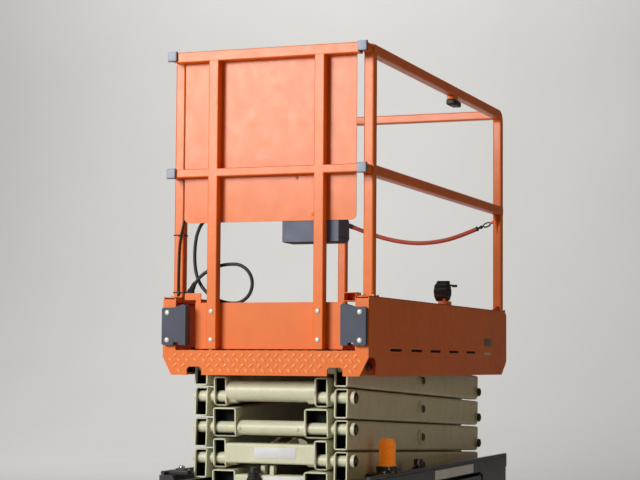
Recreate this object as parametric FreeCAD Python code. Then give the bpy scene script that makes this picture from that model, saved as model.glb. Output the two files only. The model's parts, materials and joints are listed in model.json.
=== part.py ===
import FreeCAD, Part
import math
import os

# Self-propelled slab scissor lift with a sliding platform extension, in millimetres.
# +X is the machine's forward end, +Y its left side, +Z up. The origin is on the floor,
# under the middle of the machine's box. The lift stands lowered, as it parks.
V = FreeCAD.Vector
X_AXIS = V(1, 0, 0)
Y_AXIS = V(0, 1, 0)
Z_AXIS = V(0, 0, 1)
AXES = {"x": X_AXIS, "y": Y_AXIS, "z": Z_AXIS}
EPS = 1.0

# Wheels
WHEEL_R = 161.5
WHEEL_W = 98.0
RIM_R = 112.0
RIM_LIP = 10.0
RIM_INSET = 4.0
HUB_R = 46.0
HUB_BORE_R = 28.0
SHOULDER = 7.0
AXLE_FIT = 0.05
AXLE_END = 38.0
AXLE_PLAY = 0.5
AXLE_CLEAR = 4.0
AXLE_FLANGE = 14.0
DISH_HALF = 14.0

# Scissor stack: levels of crossed arms between pins at the rear and at the front
LEVELS = 4
LEVEL_RISE = 111.0
REAR_PIN_X = -795.0
PIN_SPAN = 1620.0
FRONT_PIN_X = REAR_PIN_X + PIN_SPAN
ARM_H = 105.0
ARM_W = 50.0
WIDE_ARM_W = 90.0
ARM_WALL = 5.0
ARM_CORNER = 10.0
PIN_OFFSET = 20.0
ARM_END = 35.0
END_CHAMFER = 12.0
OUTER_IN = 245.0
NARROW_GAP = 25.0
WIDE_GAP = 23.0
OUTER_Y = (OUTER_IN, OUTER_IN + ARM_W)
INNER_NARROW_Y = (OUTER_IN - NARROW_GAP - ARM_W, OUTER_IN - NARROW_GAP)
INNER_WIDE_Y = (OUTER_IN - WIDE_GAP - WIDE_ARM_W, OUTER_IN - WIDE_GAP)
PIN_R = 15.0
PIN_FIT = 0.05
BOSS_R = 20.5
BOSS_PROUD = 5.0
PIN_PROUD = 8.0
BOSS_END = OUTER_Y[1] + BOSS_PROUD
PIN_END_Y = BOSS_END + PIN_PROUD
COLLAR_R = 24.0
COLLAR_T = 30.0
HEAD_T = 13.0
SIDE_PLAY = 1.0
CROSS_TUBE_R = 27.0
FRONT_TUBE_R = 37.5
FRONT_SQUARE = 72.0
SQUARE_CORNER = 8.0
POST_W = 26.0
POST_T = 15.0
POST_H = 31.0
HOSE_POST_Y = [-42.0, -7.0]

# Sliding rollers and their tracks
ROLLER_R = 25.0
ROLLER_GAP = 9.0
ROLLER_W = 32.0
ROLLER_Y = (OUTER_Y[1] + ROLLER_GAP, OUTER_Y[1] + ROLLER_GAP + ROLLER_W)
ROLLER_PLAY = 1.0
TRACK_WALL = 5.0
TRACK_Y = (ROLLER_Y[0] - 2.0, ROLLER_Y[1] + 9.0 + TRACK_WALL)
TRACK_X = (FRONT_PIN_X - 765.0, FRONT_PIN_X + 75.0)

# Heights, from the wheels up
ARCH_CLEAR = 11.0
ARCH_Z = 2 * WHEEL_R + ARCH_CLEAR
BEAM_H = 56.0
DECK_Z = ARCH_Z + BEAM_H
BELLY_Z = 105.0
BASE_PIN_Z = DECK_Z + 111.0
TOP_PIN_Z = BASE_PIN_Z + LEVELS * LEVEL_RISE
TOP_PIN_DROP = 55.0
FLOOR_TOP = TOP_PIN_Z + TOP_PIN_DROP
FLOOR_T = 6.0

# Lengths: platform and chassis reach past the pins
REAR_OVERHANG = 150.0
FRONT_OVERHANG = 100.0
PLATFORM_REAR = REAR_PIN_X - REAR_OVERHANG
PLATFORM_FRONT = FRONT_PIN_X + FRONT_OVERHANG
CHASSIS_REAR = PLATFORM_REAR + 30.0
CHASSIS_FRONT = PLATFORM_FRONT + 5.0
FRONT_WHEEL_X = CHASSIS_FRONT - 205.0
REAR_WHEEL_X = CHASSIS_REAR + 190.0
WHEEL_BAY = 225.0

# Widths, from the roller tracks outwards
SHEET = 6.0
TROUGH_HALF_W = TRACK_Y[1]
LEDGE_W = 50.0
LEDGE_HALF_W = TROUGH_HALF_W + LEDGE_W
WHEEL_Y = LEDGE_HALF_W + 1.0 - WHEEL_W / 2
KINGPIN_Y = WHEEL_Y - 80.0
KINGPIN_R = 22.0
KINGPIN_PLAY = 6.0
KINGPIN_TOP = 12.0
BOSS_WALL = 18.0
KNUCKLE_REACH = 30.0
KNUCKLE_T = 14.0
MOTOR_L = 90.0
BODY_HALF_W = WHEEL_Y - WHEEL_W / 2 - 18.0
SPINE_HALF_W = BODY_HALF_W - 180.0

# Chassis
LEDGE_Z = BASE_PIN_Z + 49.0
HEM_H = 45.0
END_PLATE_T = 12.0
BODY_X = (REAR_WHEEL_X + WHEEL_BAY - 40.0, FRONT_WHEEL_X - WHEEL_BAY + 10.0)
SPINE_Z = BELLY_Z + 40.0
SCOOP_Z = DECK_Z + 80.0
EYE_HOLE_R = 11.0
EYE_MARGIN = 12.0
FRONT_EYE_Y = 150.0
FRONT_EYE_Z = 285.0
REAR_EYE_Y = 235.0
REAR_EYE_Z = 84.0

# Rounded bars along the ledges' edges, and a sounder on the left ledge
GUARD_W = 14.0
GUARD_CORNER = 5.0
ALARM_X = 274.0
ALARM_Y = (LEDGE_HALF_W - 40.0, LEDGE_HALF_W - 17.0)
ALARM_R = 22.5
ALARM_PLATE = 5.0
ALARM_SUNK = 2.0

# Rear ladder on the chassis
LADDER_HALF_W = 170.0
LADDER_TUBE = 25.0
LADDER_Z = (180.0, 890.0)
RUNG_R = 12.0
STILE_CORNER = 4.0
RUNGS = [230.0, 430.0, 630.0, 830.0]

# Side trays on vertical hinges
TRAY_X = (REAR_WHEEL_X + WHEEL_BAY, FRONT_WHEEL_X - WHEEL_BAY)
TRAY_Y = (BODY_HALF_W + 20.0, LEDGE_HALF_W)
TRAY_Z = (BELLY_Z + 20.0, LEDGE_Z - 60.0)
TRAY_WALL = 5.0
TRAY_CLEAR = 8.0
PANEL_GAP = 14.0
LOAD_REAR = 40.0
LOAD_FRONT = 200.0
LOUVRE = (110.0, 8.0)
LOUVRE_PITCH = 24.0
LOUVRE_RISE = 60.0
LOUVRE_ROWS = 5
LOUVRE_X = [-330.0, 0.0, 330.0]
HINGE_IN = 12.0
TRAY_HINGE = (TRAY_X[0] - HINGE_IN, TRAY_Y[1] - HINGE_IN)
HINGE_PIN_R = 8.0
HINGE_LUG_R = 12.0
HINGE_LUG_H = 40.0
HINGE_EAR_T = 10.0
HINGE_EAR_L = 30.0
HINGE_FLARE = 20.0
HINGE_PLAY = 6.0

# Beacon on the left ledge
BEACON_AT = (612.0, LEDGE_HALF_W - 40.0)
BEACON_BASE_R = 38.0
BEACON_BASE_H = 34.0
BEACON_R = 31.0
BEACON_H = 102.0
BEACON_RIBS = 5
BEACON_GROOVE = 3.0

# Lift cylinder: its rod's eye is left free of its pin's place, so it may drift in mid travel
CYLINDER_BASE_X = REAR_PIN_X + 95.0
CYLINDER_BASE_DROP = 60.0
CYLINDER_EYE_BACK = 98.0
CYLINDER_TOP_W = 30.0
BARREL_R = 38.0
BARREL_LENGTH = 1290.0
BARREL_START = 85.0
BARREL_END_WALL = 21.0
NECK_R = 21.0
GLAND_R = 42.0
GLAND_L = 40.0
ROD_R = 20.0
ROD_FIT = 0.05
ROD_HIDDEN = 490.0
EYE_R = 32.0
ROD_EYE_R = 29.0
EYE_HALF_W = 24.0
CLEVIS_T = 12.0
CYLINDER_PIN_R = 16.0
PIN_CAP_T = 6.0

# Platform
SIDE_MARGIN = 45.0
PLATFORM_HALF_W = TRACK_Y[1] + SIDE_MARGIN
SKIRT_T = 4.0
SKIRT_TOP = FLOOR_TOP + 192.0
SKIRT_BOTTOM = FLOOR_TOP - 89.0
LIP_W = 48.0
LIP_H = 24.0
SKIRT_CORNER = (60.0, 45.0)
SLOT_L = 42.0
SLOT_H = 8.0
SLOT_Z = FLOOR_TOP + 5.0
SLOT_X = [623.0, 372.0, 134.0, -120.0, -369.0]
SKIRT_SLANT = (40.0, 60.0)
REAR_HEM_H = 50.0
BRACKET_R = 30.0
RAIL = 38.0
RAIL_WALL = 3.0
RAIL_CORNER = 6.0
RAIL_IN = 27.0
RAIL_Y = PLATFORM_HALF_W - RAIL_IN
RAIL_SIDES = (RAIL_Y - RAIL / 2, RAIL_Y + RAIL / 2)
RAIL_HEIGHT = 1090.0
MID_RAIL_HEIGHT = 660.0
RAIL_TOP = FLOOR_TOP + RAIL_HEIGHT
MID_RAIL_TOP = FLOOR_TOP + MID_RAIL_HEIGHT
RAIL_BEND = 55.0
POST_FRONT_X = PLATFORM_FRONT - 66.0
POST_REAR_X = PLATFORM_REAR + 25.0
REAR_BAR_IN = 10.0
POST_HOLE_Z = [1235.0, 1421.0]
POST_HOLE_R = 6.0
FOOT_T = 4.0
FOOT_OUT = 10.0

# Front lip with its corner flanges and pads
LIP_T = 5.0
FLANGE_W = 50.0
FLANGE_TOP = SKIRT_TOP - 8.0
FLANGE_CHAMFER = (34.0, 66.0)
NOTCH_MARGIN = 4.0
NOTCH_H = 30.0
NOTCH_CORNER = 8.0
PAD_T = 20.0
FRONT_X = PLATFORM_FRONT + PAD_T
PAD_EDGE = 4.0
PAD_BLOCK_W = 48.0
PAD_NOTCH = 21.0
PAD_Z = (FLOOR_TOP + 18.0, FLOOR_TOP + 153.0)
PAD_RISE = 12.0
PAD_DEPTH = 40.0
PAD_CORNER = 5.0

# Extension
EXT_TUBE = 30.0
EXT_WALL = 3.0
EXT_TUBE_REAR = -320.0
EXT_RAIL = 38.0
EXT_RAIL_DROP = 4.0
EXT_MID_RAIL = 30.0
EXT_FRONT = PLATFORM_FRONT
EXT_BACK = EXT_FRONT - EXT_RAIL
EXT_DECK_HALF_W = 285.0
EXT_DECK_REAR = -80.0
EXT_DECK_T = 20.0
EXT_DECK_GAP = 5.0
RUNNER_Y = (200.0, 230.0)
SEAT_GAP = 0.3
TOE_T = 4.0
TOE_TOP = FLOOR_TOP + 172.0
TOE_HEM = 12.0
TOE_CORNER = 30.0
EXT_POST_Y = 205.0
PANEL_T = 3.0
PANEL_HALF_W = 333.0
PANEL_BOTTOM = FLOOR_TOP + 462.0
PANEL_CORNER = 20.0
CAP = 40.0
CAP_T = 12.0
CAP_CORNER = 8.0

# Operator's control box behind the panel, and its cable
BOX_Y = (52.0, 266.0)
BOX_BOTTOM = FLOOR_TOP + 387.0
BOX_H = 133.0
BOX_FRONT_H = 75.0
BOX_DEPTH = 112.0
BOX_TOP_DEPTH = 34.0
BOX_CORNER = 14.0
LEVER_R = 11.0
LEVER_L = 42.0
BUTTON_R = 20.0
BUTTON_H = 14.0
CABLE_R = 6.25
CORD_GLAND_R = 11.0
CORD_GLAND_L = 22.0
BRACKET_T = 4.0
BRACKET_DROP = 20.0
BRACKET_RISE = 25.0
CABLE_ROUTE = [
    (856.0, BOX_Y[0] - CORD_GLAND_L, 1489.0),
    (856.0, -24.0, 1489.0),
    (855.0, -84.0, 1484.0),
    (853.0, -146.0, 1487.0),
    (850.0, -205.0, 1493.0),
    (848.0, -250.0, 1489.0),
    (846.0, -284.0, 1463.0),
    (845.0, -303.0, 1420.0),
    (845.0, -309.0, 1372.0),
    (845.0, -309.0, 1322.0),
    (845.0, -302.0, 1276.0),
    (846.0, -282.0, 1234.0),
    (848.0, -248.0, 1201.0),
    (853.0, -205.0, 1180.0),
    (859.0, -162.0, 1170.0),
    (864.0, -117.0, 1171.0),
    (866.0, -80.0, 1198.0),
    (868.0, -66.0, 1241.0),
    (869.0, -80.0, 1284.0),
    (870.0, -117.0, 1311.0),
    (871.0, -162.0, 1312.0),
    (871.0, -207.0, 1305.0),
    (870.0, -250.0, 1286.0),
    (870.0, -291.0, 1254.0),
    (870.0, -314.0, 1208.0),
]
CABLE_END = CABLE_ROUTE[-1]
CABLE_SHELF_Z = 1182.0

# Thin cable clipped up the right front post, from the lip to the middle rail
POST_CABLE_R = 4.0
POST_CABLE_ROUTE = [
    (863.2, -366.0, SKIRT_TOP + FOOT_T),
    (863.2, -366.0, 1300.0),
    (863.2, -363.0, 1400.0),
    (863.2, -340.0, 1490.0),
    (850.0, -336.0, 1555.0),
    (850.0, -336.0, 1618.0),
]
GLAND_BLOCK = 9.0

# Chain in its sleeve across the entrance at the rear
CHAIN_R = 9.5
CHAIN_X = POST_REAR_X + RAIL / 2
CHAIN_ROUTE = [
    (CHAIN_X, -340.0, 1590.0),
    (CHAIN_X, -226.0, 1544.0),
    (CHAIN_X, -113.0, 1513.0),
    (CHAIN_X, -3.0, 1500.0),
    (CHAIN_X, 103.0, 1508.0),
    (CHAIN_X, 190.0, 1530.0),
    (CHAIN_X, 272.0, 1562.0),
]
CHAIN_EYE_R = 6.0
HOOK_R = 7.0
HOOK_GRIP_R = 11.0
HOOK_GRIP_L = 26.0
HOOK_L = 66.0
CORD_REACH = 0.45



def box(x, y, z):
    return Part.makeBox(x[1] - x[0], y[1] - y[0], z[1] - z[0], V(x[0], y[0], z[0]))


def rod(start, end, radius):
    run = V(*end) - V(*start)
    return Part.makeCylinder(radius, run.Length, V(*start), run)


def mirrored(shape):
    return shape.mirror(V(0, 0, 0), Y_AXIS)


def both(shape):
    return Part.makeCompound([shape, mirrored(shape)])


def on_side(shape, side):
    return shape if side > 0 else mirrored(shape)


def fuse(shapes):
    joined = shapes[0].multiFuse(shapes[1:])
    return joined.removeSplitter()


def flat_face(points):
    return Part.Face(Part.makePolygon(points + points[:1]))


def prism_y(points, y):
    face = flat_face([V(px, y[0], pz) for px, pz in points])
    return face.extrude(V(0, y[1] - y[0], 0))


def prism_x(points, x):
    face = flat_face([V(x[0], py, pz) for py, pz in points])
    return face.extrude(V(x[1] - x[0], 0, 0))


def both_sides(points):
    # A half outline from the middle plane outwards, closed by its mirror image
    return points + [(-py, pz) for py, pz in reversed(points) if py != 0]


def rounded_box(x, y, z, axis, radius):
    # A box whose four edges along the axis are rounded
    solid = box(x, y, z)
    along = AXES[axis]
    edges = [e for e in solid.Edges if abs(e.tangentAt(e.FirstParameter).dot(along)) > 0.9]
    return solid.makeFillet(radius, edges)


def square_tube(x, y, z, axis, wall, corner):
    # A hollow tube that fills the box, open at both ends along the axis
    spans = {"x": x, "y": y, "z": z}
    inner = {}
    for name, span in spans.items():
        grow = EPS if name == axis else -wall
        inner[name] = (span[0] - grow, span[1] + grow)
    hollow = rounded_box(inner["x"], inner["y"], inner["z"], axis, max(corner - wall, EPS))
    return rounded_box(x, y, z, axis, corner).cut(hollow)


def end_face(shape, axis, value):
    # The flat face of a tube at one of its open ends
    def place(face):
        centre = face.CenterOfMass
        return {"x": centre.x, "y": centre.y, "z": centre.z}[axis]
    return min(shape.Faces, key=lambda face: abs(place(face) - value) - face.Area / 1e6)


def routed_tube(points, radius, name):
    # Straight runs joined by tangent arcs, each as large as its two runs allow
    marks = [V(*p) for p in points]
    edges = []
    at = marks[0]
    tightest = None
    for before, corner, after in zip(marks, marks[1:], marks[2:]):
        back = before - corner
        ahead = after - corner
        turn = math.pi - back.getAngle(ahead)
        reach = CORD_REACH * min(back.Length, ahead.Length)
        bend = reach / math.tan(turn / 2)
        tightest = bend if tightest is None else min(tightest, bend)
        back.normalize()
        ahead.normalize()
        start = corner + back * reach
        stop = corner + ahead * reach
        middle = (back + ahead).normalize()
        centre = corner + middle * math.hypot(bend, reach)
        edges.append(Part.LineSegment(at, start).toShape())
        edges.append(Part.Arc(start, centre - middle * bend, stop).toShape())
        at = stop
    edges.append(Part.LineSegment(at, marks[-1]).toShape())
    path = Part.Wire(edges)
    section = Part.Wire(Part.makeCircle(radius, marks[0], marks[1] - marks[0]))
    tube = path.makePipeShell([section], True, False)
    print(name, "length %.0f" % path.Length, "tightest bend %.0f" % tightest,
          "volume by section %.3f" % (tube.Volume / (path.Length * math.pi * radius ** 2)))
    return tube


def pin_z(level):
    return BASE_PIN_Z + level * LEVEL_RISE


def centre_of(low, high):
    return ((low[0] + high[0]) / 2, (low[1] + high[1]) / 2)


def outer_pins(level):
    low = (REAR_PIN_X, pin_z(level - 1))
    high = (FRONT_PIN_X, pin_z(level))
    return low, high


def inner_pins(level):
    low = (FRONT_PIN_X, pin_z(level - 1))
    high = (REAR_PIN_X, pin_z(level))
    return low, high


def cross_bar(at, half_y, radius):
    return rod((at[0], -half_y, at[1]), (at[0], half_y, at[1]), radius)


def stub_y(at, y, radius):
    return rod((at[0], y[0], at[1]), (at[0], y[1], at[1]), radius)


# Arm tubes. Their pins lie off the tube's middle line: near the top edge at the raised end
# and near the bottom edge at the other end.
def arm_line(low, high):
    start = V(low[0], 0, low[1] + PIN_OFFSET)
    stop = V(high[0], 0, high[1] - PIN_OFFSET)
    return start, stop, (stop - start).normalize()


def arm_outline(low, high, grow, end, chamfer):
    start, stop, along = arm_line(low, high)
    up = V(-along.z, 0, along.x)
    if up.z < 0:
        up = up * -1
    half = ARM_H / 2 + grow
    # Corners from the low pin's end round to the high pin's end
    a = start - along * end
    b = stop + along * end
    marks = [
        a - up * (half - chamfer),
        a + along * chamfer - up * half,
        b - up * half,
        b + up * (half - chamfer),
        b - along * chamfer + up * half,
        a + up * half,
    ]
    return [(m.x, m.z) for m in marks]


def arm_tube(low, high, y):
    # A tube with rounded long edges and open ends
    solid = prism_y(arm_outline(low, high, 0.0, ARM_END, END_CHAMFER), y)
    start, stop, along = arm_line(low, high)
    length = (stop - start).Length
    bar = rounded_box((-ARM_W, length + ARM_W), y, (-ARM_H / 2, ARM_H / 2), "x", ARM_CORNER)
    bar.Placement = FreeCAD.Placement(start, FreeCAD.Rotation(X_AXIS, along))
    hollow = prism_y(
        arm_outline(low, high, -ARM_WALL, ARM_END + EPS, EPS),
        (y[0] + ARM_WALL, y[1] - ARM_WALL),
    )
    return solid.common(bar).cut(hollow)


def outer_arm_pair(level):
    low, high = outer_pins(level)
    arm = arm_tube(low, high, OUTER_Y)
    inner_y = (INNER_WIDE_Y if level % 2 else INNER_NARROW_Y)[1]
    marks = [low, centre_of(low, high), high]
    for at in marks:
        arm = arm.fuse(stub_y(at, (OUTER_Y[0] - BOSS_PROUD, BOSS_END), BOSS_R))
    for at in marks:
        arm = arm.cut(stub_y(at, (inner_y, PIN_END_Y + EPS), PIN_R + PIN_FIT))
    sides = [arm, mirrored(arm)]
    if level == 1:
        return fuse(sides + [cross_bar(low, OUTER_Y[0] + ARM_WALL / 2, CROSS_TUBE_R)])
    if level == LEVELS:
        shaft = cross_bar(high, ROLLER_Y[1], PIN_R)
        return fuse(sides + [cross_bar(high, OUTER_Y[0] + ARM_WALL / 2, CROSS_TUBE_R), shaft])
    return Part.makeCompound(sides)


# Cross members near the front pins of the inner arms: shape and height above the pin
FRONT_MEMBERS = {
    1: ("square", PIN_OFFSET),
    2: ("square", PIN_OFFSET),
    3: ("round", 0.0),
    4: ("large", PIN_OFFSET),
}


def hose_posts(member_top):
    # Two small posts on the lowest member, which guide the hoses
    return [
        box((FRONT_PIN_X - POST_W / 2, FRONT_PIN_X + POST_W / 2), (y, y + POST_T),
            (member_top - EPS, member_top + POST_H))
        for y in HOSE_POST_Y
    ]


def inner_arm_frame(level):
    low, high = inner_pins(level)
    wide = level % 2 == 1
    y = INNER_WIDE_Y if wide else INNER_NARROW_Y
    pin_ends = {low: PIN_END_Y, centre_of(low, high): PIN_END_Y, high: PIN_END_Y}
    if level == 1:
        pin_ends[low] = ROLLER_Y[1]
    if level == LEVELS:
        pin_ends[high] = OUTER_Y[0] - BOSS_PROUD + CLEVIS_T + SIDE_PLAY
    pieces = [arm_tube(low, high, y)]
    washer_end = OUTER_Y[0] - BOSS_PROUD - SIDE_PLAY
    for at, end_y in pin_ends.items():
        pieces.append(stub_y(at, (y[0] + ARM_WALL / 2, end_y), PIN_R))
        pieces.append(stub_y(at, (y[1] - EPS, washer_end), BOSS_R))
    if not wide:
        pieces.append(stub_y(low, (y[0] - COLLAR_T, y[0] + EPS), COLLAR_R))
    side = fuse(pieces)
    reach = y[0] + ARM_WALL / 2
    kind, above = FRONT_MEMBERS[level]
    front = (low[0], low[1] + above)
    half = FRONT_SQUARE / 2
    if kind == "square":
        member = square_tube(
            (front[0] - half, front[0] + half),
            (-reach, reach),
            (front[1] - half, front[1] + half),
            "y", ARM_WALL, SQUARE_CORNER,
        )
    else:
        member = cross_bar(front, reach, FRONT_TUBE_R if kind == "large" else CROSS_TUBE_R)
    parts = [side, mirrored(side), member, cross_bar(high, reach, CROSS_TUBE_R)]
    if level > 1:
        # The outer arm is held on by a round head at the left end of its front pin
        parts.append(stub_y(low, (BOSS_END + SIDE_PLAY, BOSS_END + SIDE_PLAY + HEAD_T), COLLAR_R))
    if level == 1:
        parts += hose_posts(front[1] + half)
    if level == 2:
        parts += cylinder_ears(front)
    return fuse(parts)


# Lift cylinder, from the chassis to the front cross member of the second inner arms
def cylinder_base():
    return (CYLINDER_BASE_X, BASE_PIN_Z - CYLINDER_BASE_DROP)


def cylinder_top():
    # The rod's eye lies behind the member's rear face, above the arm's pin line
    tilt = math.atan2(LEVEL_RISE, PIN_SPAN)
    length = math.hypot(LEVEL_RISE, PIN_SPAN)
    share = (FRONT_SQUARE / 2 + CYLINDER_EYE_BACK + CYLINDER_TOP_W * math.sin(tilt)) / (
        length * math.cos(tilt)
    )
    x = REAR_PIN_X + (1 - share) * length * math.cos(tilt) + CYLINDER_TOP_W * math.sin(tilt)
    z = BASE_PIN_Z + (1 + share) * length * math.sin(tilt) + CYLINDER_TOP_W * math.cos(tilt)
    return (x, z)


def cylinder_ears(front):
    top = cylinder_top()
    y = (EYE_HALF_W + SIDE_PLAY, EYE_HALF_W + SIDE_PLAY + CLEVIS_T)
    face_x = front[0] - FRONT_SQUARE / 2 + EPS
    slant = EYE_R * math.sqrt(0.5)
    plate = prism_y(
        [
            (face_x, front[1] - FRONT_SQUARE / 2 + SQUARE_CORNER),
            (face_x, front[1] + FRONT_SQUARE / 2 - SQUARE_CORNER),
            (top[0], top[1] + EYE_R),
            (top[0] - slant, top[1] + slant),
            (top[0] - EYE_R, top[1]),
            (top[0] - slant, top[1] - slant),
            (top[0], top[1] - EYE_R),
        ],
        y,
    )
    head = stub_y(top, (y[1] - EPS, y[1] + PIN_CAP_T), CYLINDER_PIN_R)
    ear = plate.fuse(head)
    return [ear, mirrored(ear)]


def along_cylinder(distance):
    base = V(cylinder_base()[0], 0, cylinder_base()[1])
    top = V(cylinder_top()[0], 0, cylinder_top()[1])
    return base + (top - base).normalize() * distance


def cylinder_piece(start, end, radius):
    return rod(along_cylinder(start), along_cylinder(end), radius)


def lift_barrel():
    base = cylinder_base()
    pieces = [
        cylinder_piece(BARREL_START, BARREL_LENGTH, BARREL_R),
        cylinder_piece(BARREL_LENGTH - GLAND_L, BARREL_LENGTH, GLAND_R),
        cylinder_piece(0, BARREL_START + EPS, NECK_R),
        cross_bar(base, EYE_HALF_W, EYE_R),
    ]
    bore = cylinder_piece(BARREL_START + BARREL_END_WALL, BARREL_LENGTH + EPS, ROD_R + ROD_FIT)
    pin_hole = cross_bar(base, EYE_HALF_W + EPS, CYLINDER_PIN_R + PIN_FIT)
    return fuse(pieces).cut(bore).cut(pin_hole)


def lift_rod():
    top = cylinder_top()
    length = (along_cylinder(0) - V(top[0], 0, top[1])).Length
    shaft = cylinder_piece(BARREL_LENGTH - ROD_HIDDEN, length, ROD_R)
    return fuse([shaft, cross_bar(top, EYE_HALF_W, ROD_EYE_R)])


def roller_set(at):
    wheel = stub_y(at, ROLLER_Y, ROLLER_R)
    hole = stub_y(at, (ROLLER_Y[0] - EPS, ROLLER_Y[1] + EPS), PIN_R)
    return both(wheel.cut(hole))


def roller_track(z_mid):
    # A channel open towards the machine's middle, around the roller's path
    height = ROLLER_R + ROLLER_PLAY
    outer = box(TRACK_X, TRACK_Y, (z_mid - height - TRACK_WALL, z_mid + height + TRACK_WALL))
    inner = box(
        (TRACK_X[0] - EPS, TRACK_X[1] + EPS),
        (TRACK_Y[0] - EPS, TRACK_Y[1] - TRACK_WALL),
        (z_mid - height, z_mid + height),
    )
    return outer.cut(inner)


# Chassis
def hinge_rod(z, radius):
    return rod((TRAY_HINGE[0], TRAY_HINGE[1], z[0]), (TRAY_HINGE[0], TRAY_HINGE[1], z[1]), radius)


def hinge_lug_spans():
    low = (TRAY_Z[0] + HINGE_EAR_T, TRAY_Z[0] + HINGE_EAR_T + HINGE_LUG_H)
    high = (TRAY_Z[1] - HINGE_PLAY - HINGE_LUG_H, TRAY_Z[1] - HINGE_PLAY)
    return low, high


def hinge_ear_x():
    return (TRAY_HINGE[0] - HINGE_EAR_L, TRAY_HINGE[0] + HINGE_LUG_R)


def bottom_hinge_ear():
    # The lower ear of a side tray, out from the chassis, with its pin
    z = (TRAY_Z[0] - HINGE_PLAY - HINGE_EAR_T, TRAY_Z[0] - HINGE_PLAY)
    x = hinge_ear_x()
    ear = box((x[0] - HINGE_FLARE, x[1]), (BODY_HALF_W - SHEET / 2, LEDGE_HALF_W), z)
    return fuse([ear, hinge_rod((z[1] - EPS, hinge_lug_spans()[0][1]), HINGE_PIN_R)])


def top_hinge_ear():
    # The upper ear, down from the ledge's hem, with its pin
    z = (TRAY_Z[1] + HINGE_PLAY, LEDGE_Z - HEM_H + EPS)
    ear = box(hinge_ear_x(), (TRAY_HINGE[1] - HINGE_LUG_R - HINGE_PLAY, LEDGE_HALF_W), z)
    return fuse([ear, hinge_rod((hinge_lug_spans()[1][0], z[0] + EPS), HINGE_PIN_R)])


def cylinder_base_ear():
    base = cylinder_base()
    y = (EYE_HALF_W + SIDE_PLAY, EYE_HALF_W + SIDE_PLAY + CLEVIS_T)
    slant = EYE_R * math.sqrt(0.5)
    return prism_y(
        [
            (base[0] - 2 * EYE_R, DECK_Z - EPS),
            (base[0] - EYE_R, base[1] + EPS),
            (base[0] - slant, base[1] + slant),
            (base[0] + slant, base[1] + slant),
            (base[0] + EYE_R, base[1] + EPS),
            (base[0] + 2 * EYE_R, DECK_Z - EPS),
        ],
        y,
    )


def chassis_frame():
    # Deck over a hollow middle, a rear box and a narrow spine between the steered wheels
    deck = box(
        (CHASSIS_REAR + END_PLATE_T, CHASSIS_FRONT - END_PLATE_T),
        (-TROUGH_HALF_W, TROUGH_HALF_W),
        (DECK_Z - SHEET, DECK_Z),
    )
    middle = box(BODY_X, (-BODY_HALF_W, BODY_HALF_W), (BELLY_Z, DECK_Z - EPS)).cut(box(
        (BODY_X[0] + SHEET, BODY_X[1] - SHEET),
        (-BODY_HALF_W + SHEET, BODY_HALF_W - SHEET),
        (BELLY_Z + SHEET, DECK_Z - SHEET),
    ))
    spine = box(
        (BODY_X[1] - SHEET, CHASSIS_FRONT - END_PLATE_T),
        (-SPINE_HALF_W, SPINE_HALF_W),
        (SPINE_Z, DECK_Z - EPS),
    )
    rear = box(
        (CHASSIS_REAR + END_PLATE_T, BODY_X[0] + SHEET),
        (-BODY_HALF_W, BODY_HALF_W),
        (BELLY_Z, DECK_Z - EPS),
    )
    kingpin = (FRONT_WHEEL_X, KINGPIN_Y)
    boss = rod((*kingpin, ARCH_Z + KINGPIN_PLAY), (*kingpin, DECK_Z - EPS), KINGPIN_R + BOSS_WALL)
    socket = rod((*kingpin, ARCH_Z), (*kingpin, DECK_Z - KINGPIN_TOP), KINGPIN_R + PIN_FIT)
    ear = cylinder_base_ear()
    base_y = EYE_HALF_W + SIDE_PLAY + CLEVIS_T + PIN_CAP_T
    parts = [deck, middle, spine, rear, cross_bar(cylinder_base(), base_y, CYLINDER_PIN_R)]
    for piece in (boss, bottom_hinge_ear(), ear):
        parts += [piece, mirrored(piece)]
    return fuse(parts).cut(socket).cut(mirrored(socket))


def ledges():
    # Trough wall, ledge with its hem, wheel panels, roller track and the first arm's rear pivot
    whole = (CHASSIS_REAR + END_PLATE_T, CHASSIS_FRONT - END_PLATE_T)
    outer_y = (LEDGE_HALF_W - SHEET, LEDGE_HALF_W)
    panel_z = (ARCH_Z + ARCH_CLEAR, LEDGE_Z - EPS)
    pieces = [
        box(whole, (TROUGH_HALF_W - TRACK_WALL, TROUGH_HALF_W), (DECK_Z, LEDGE_Z)),
        box(whole, (TROUGH_HALF_W - TRACK_WALL, LEDGE_HALF_W), (LEDGE_Z - SHEET, LEDGE_Z)),
        box(whole, outer_y, (LEDGE_Z - HEM_H, LEDGE_Z)),
        box((TRAY_X[1] + PANEL_GAP, whole[1]), outer_y, panel_z),
        box((whole[0], TRAY_HINGE[0] - 2 * HINGE_LUG_R), outer_y, panel_z),
        roller_track(BASE_PIN_Z),
        stub_y((REAR_PIN_X, BASE_PIN_Z), (OUTER_Y[0] + ARM_WALL, TROUGH_HALF_W - EPS), PIN_R),
        top_hinge_ear(),
    ]
    return both(fuse(pieces))


def eye_holes(x, y, z):
    hole = rod((x[0] - EPS, y, z), (x[1] + EPS, y, z), EYE_HOLE_R)
    return hole.fuse(mirrored(hole))


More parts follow.
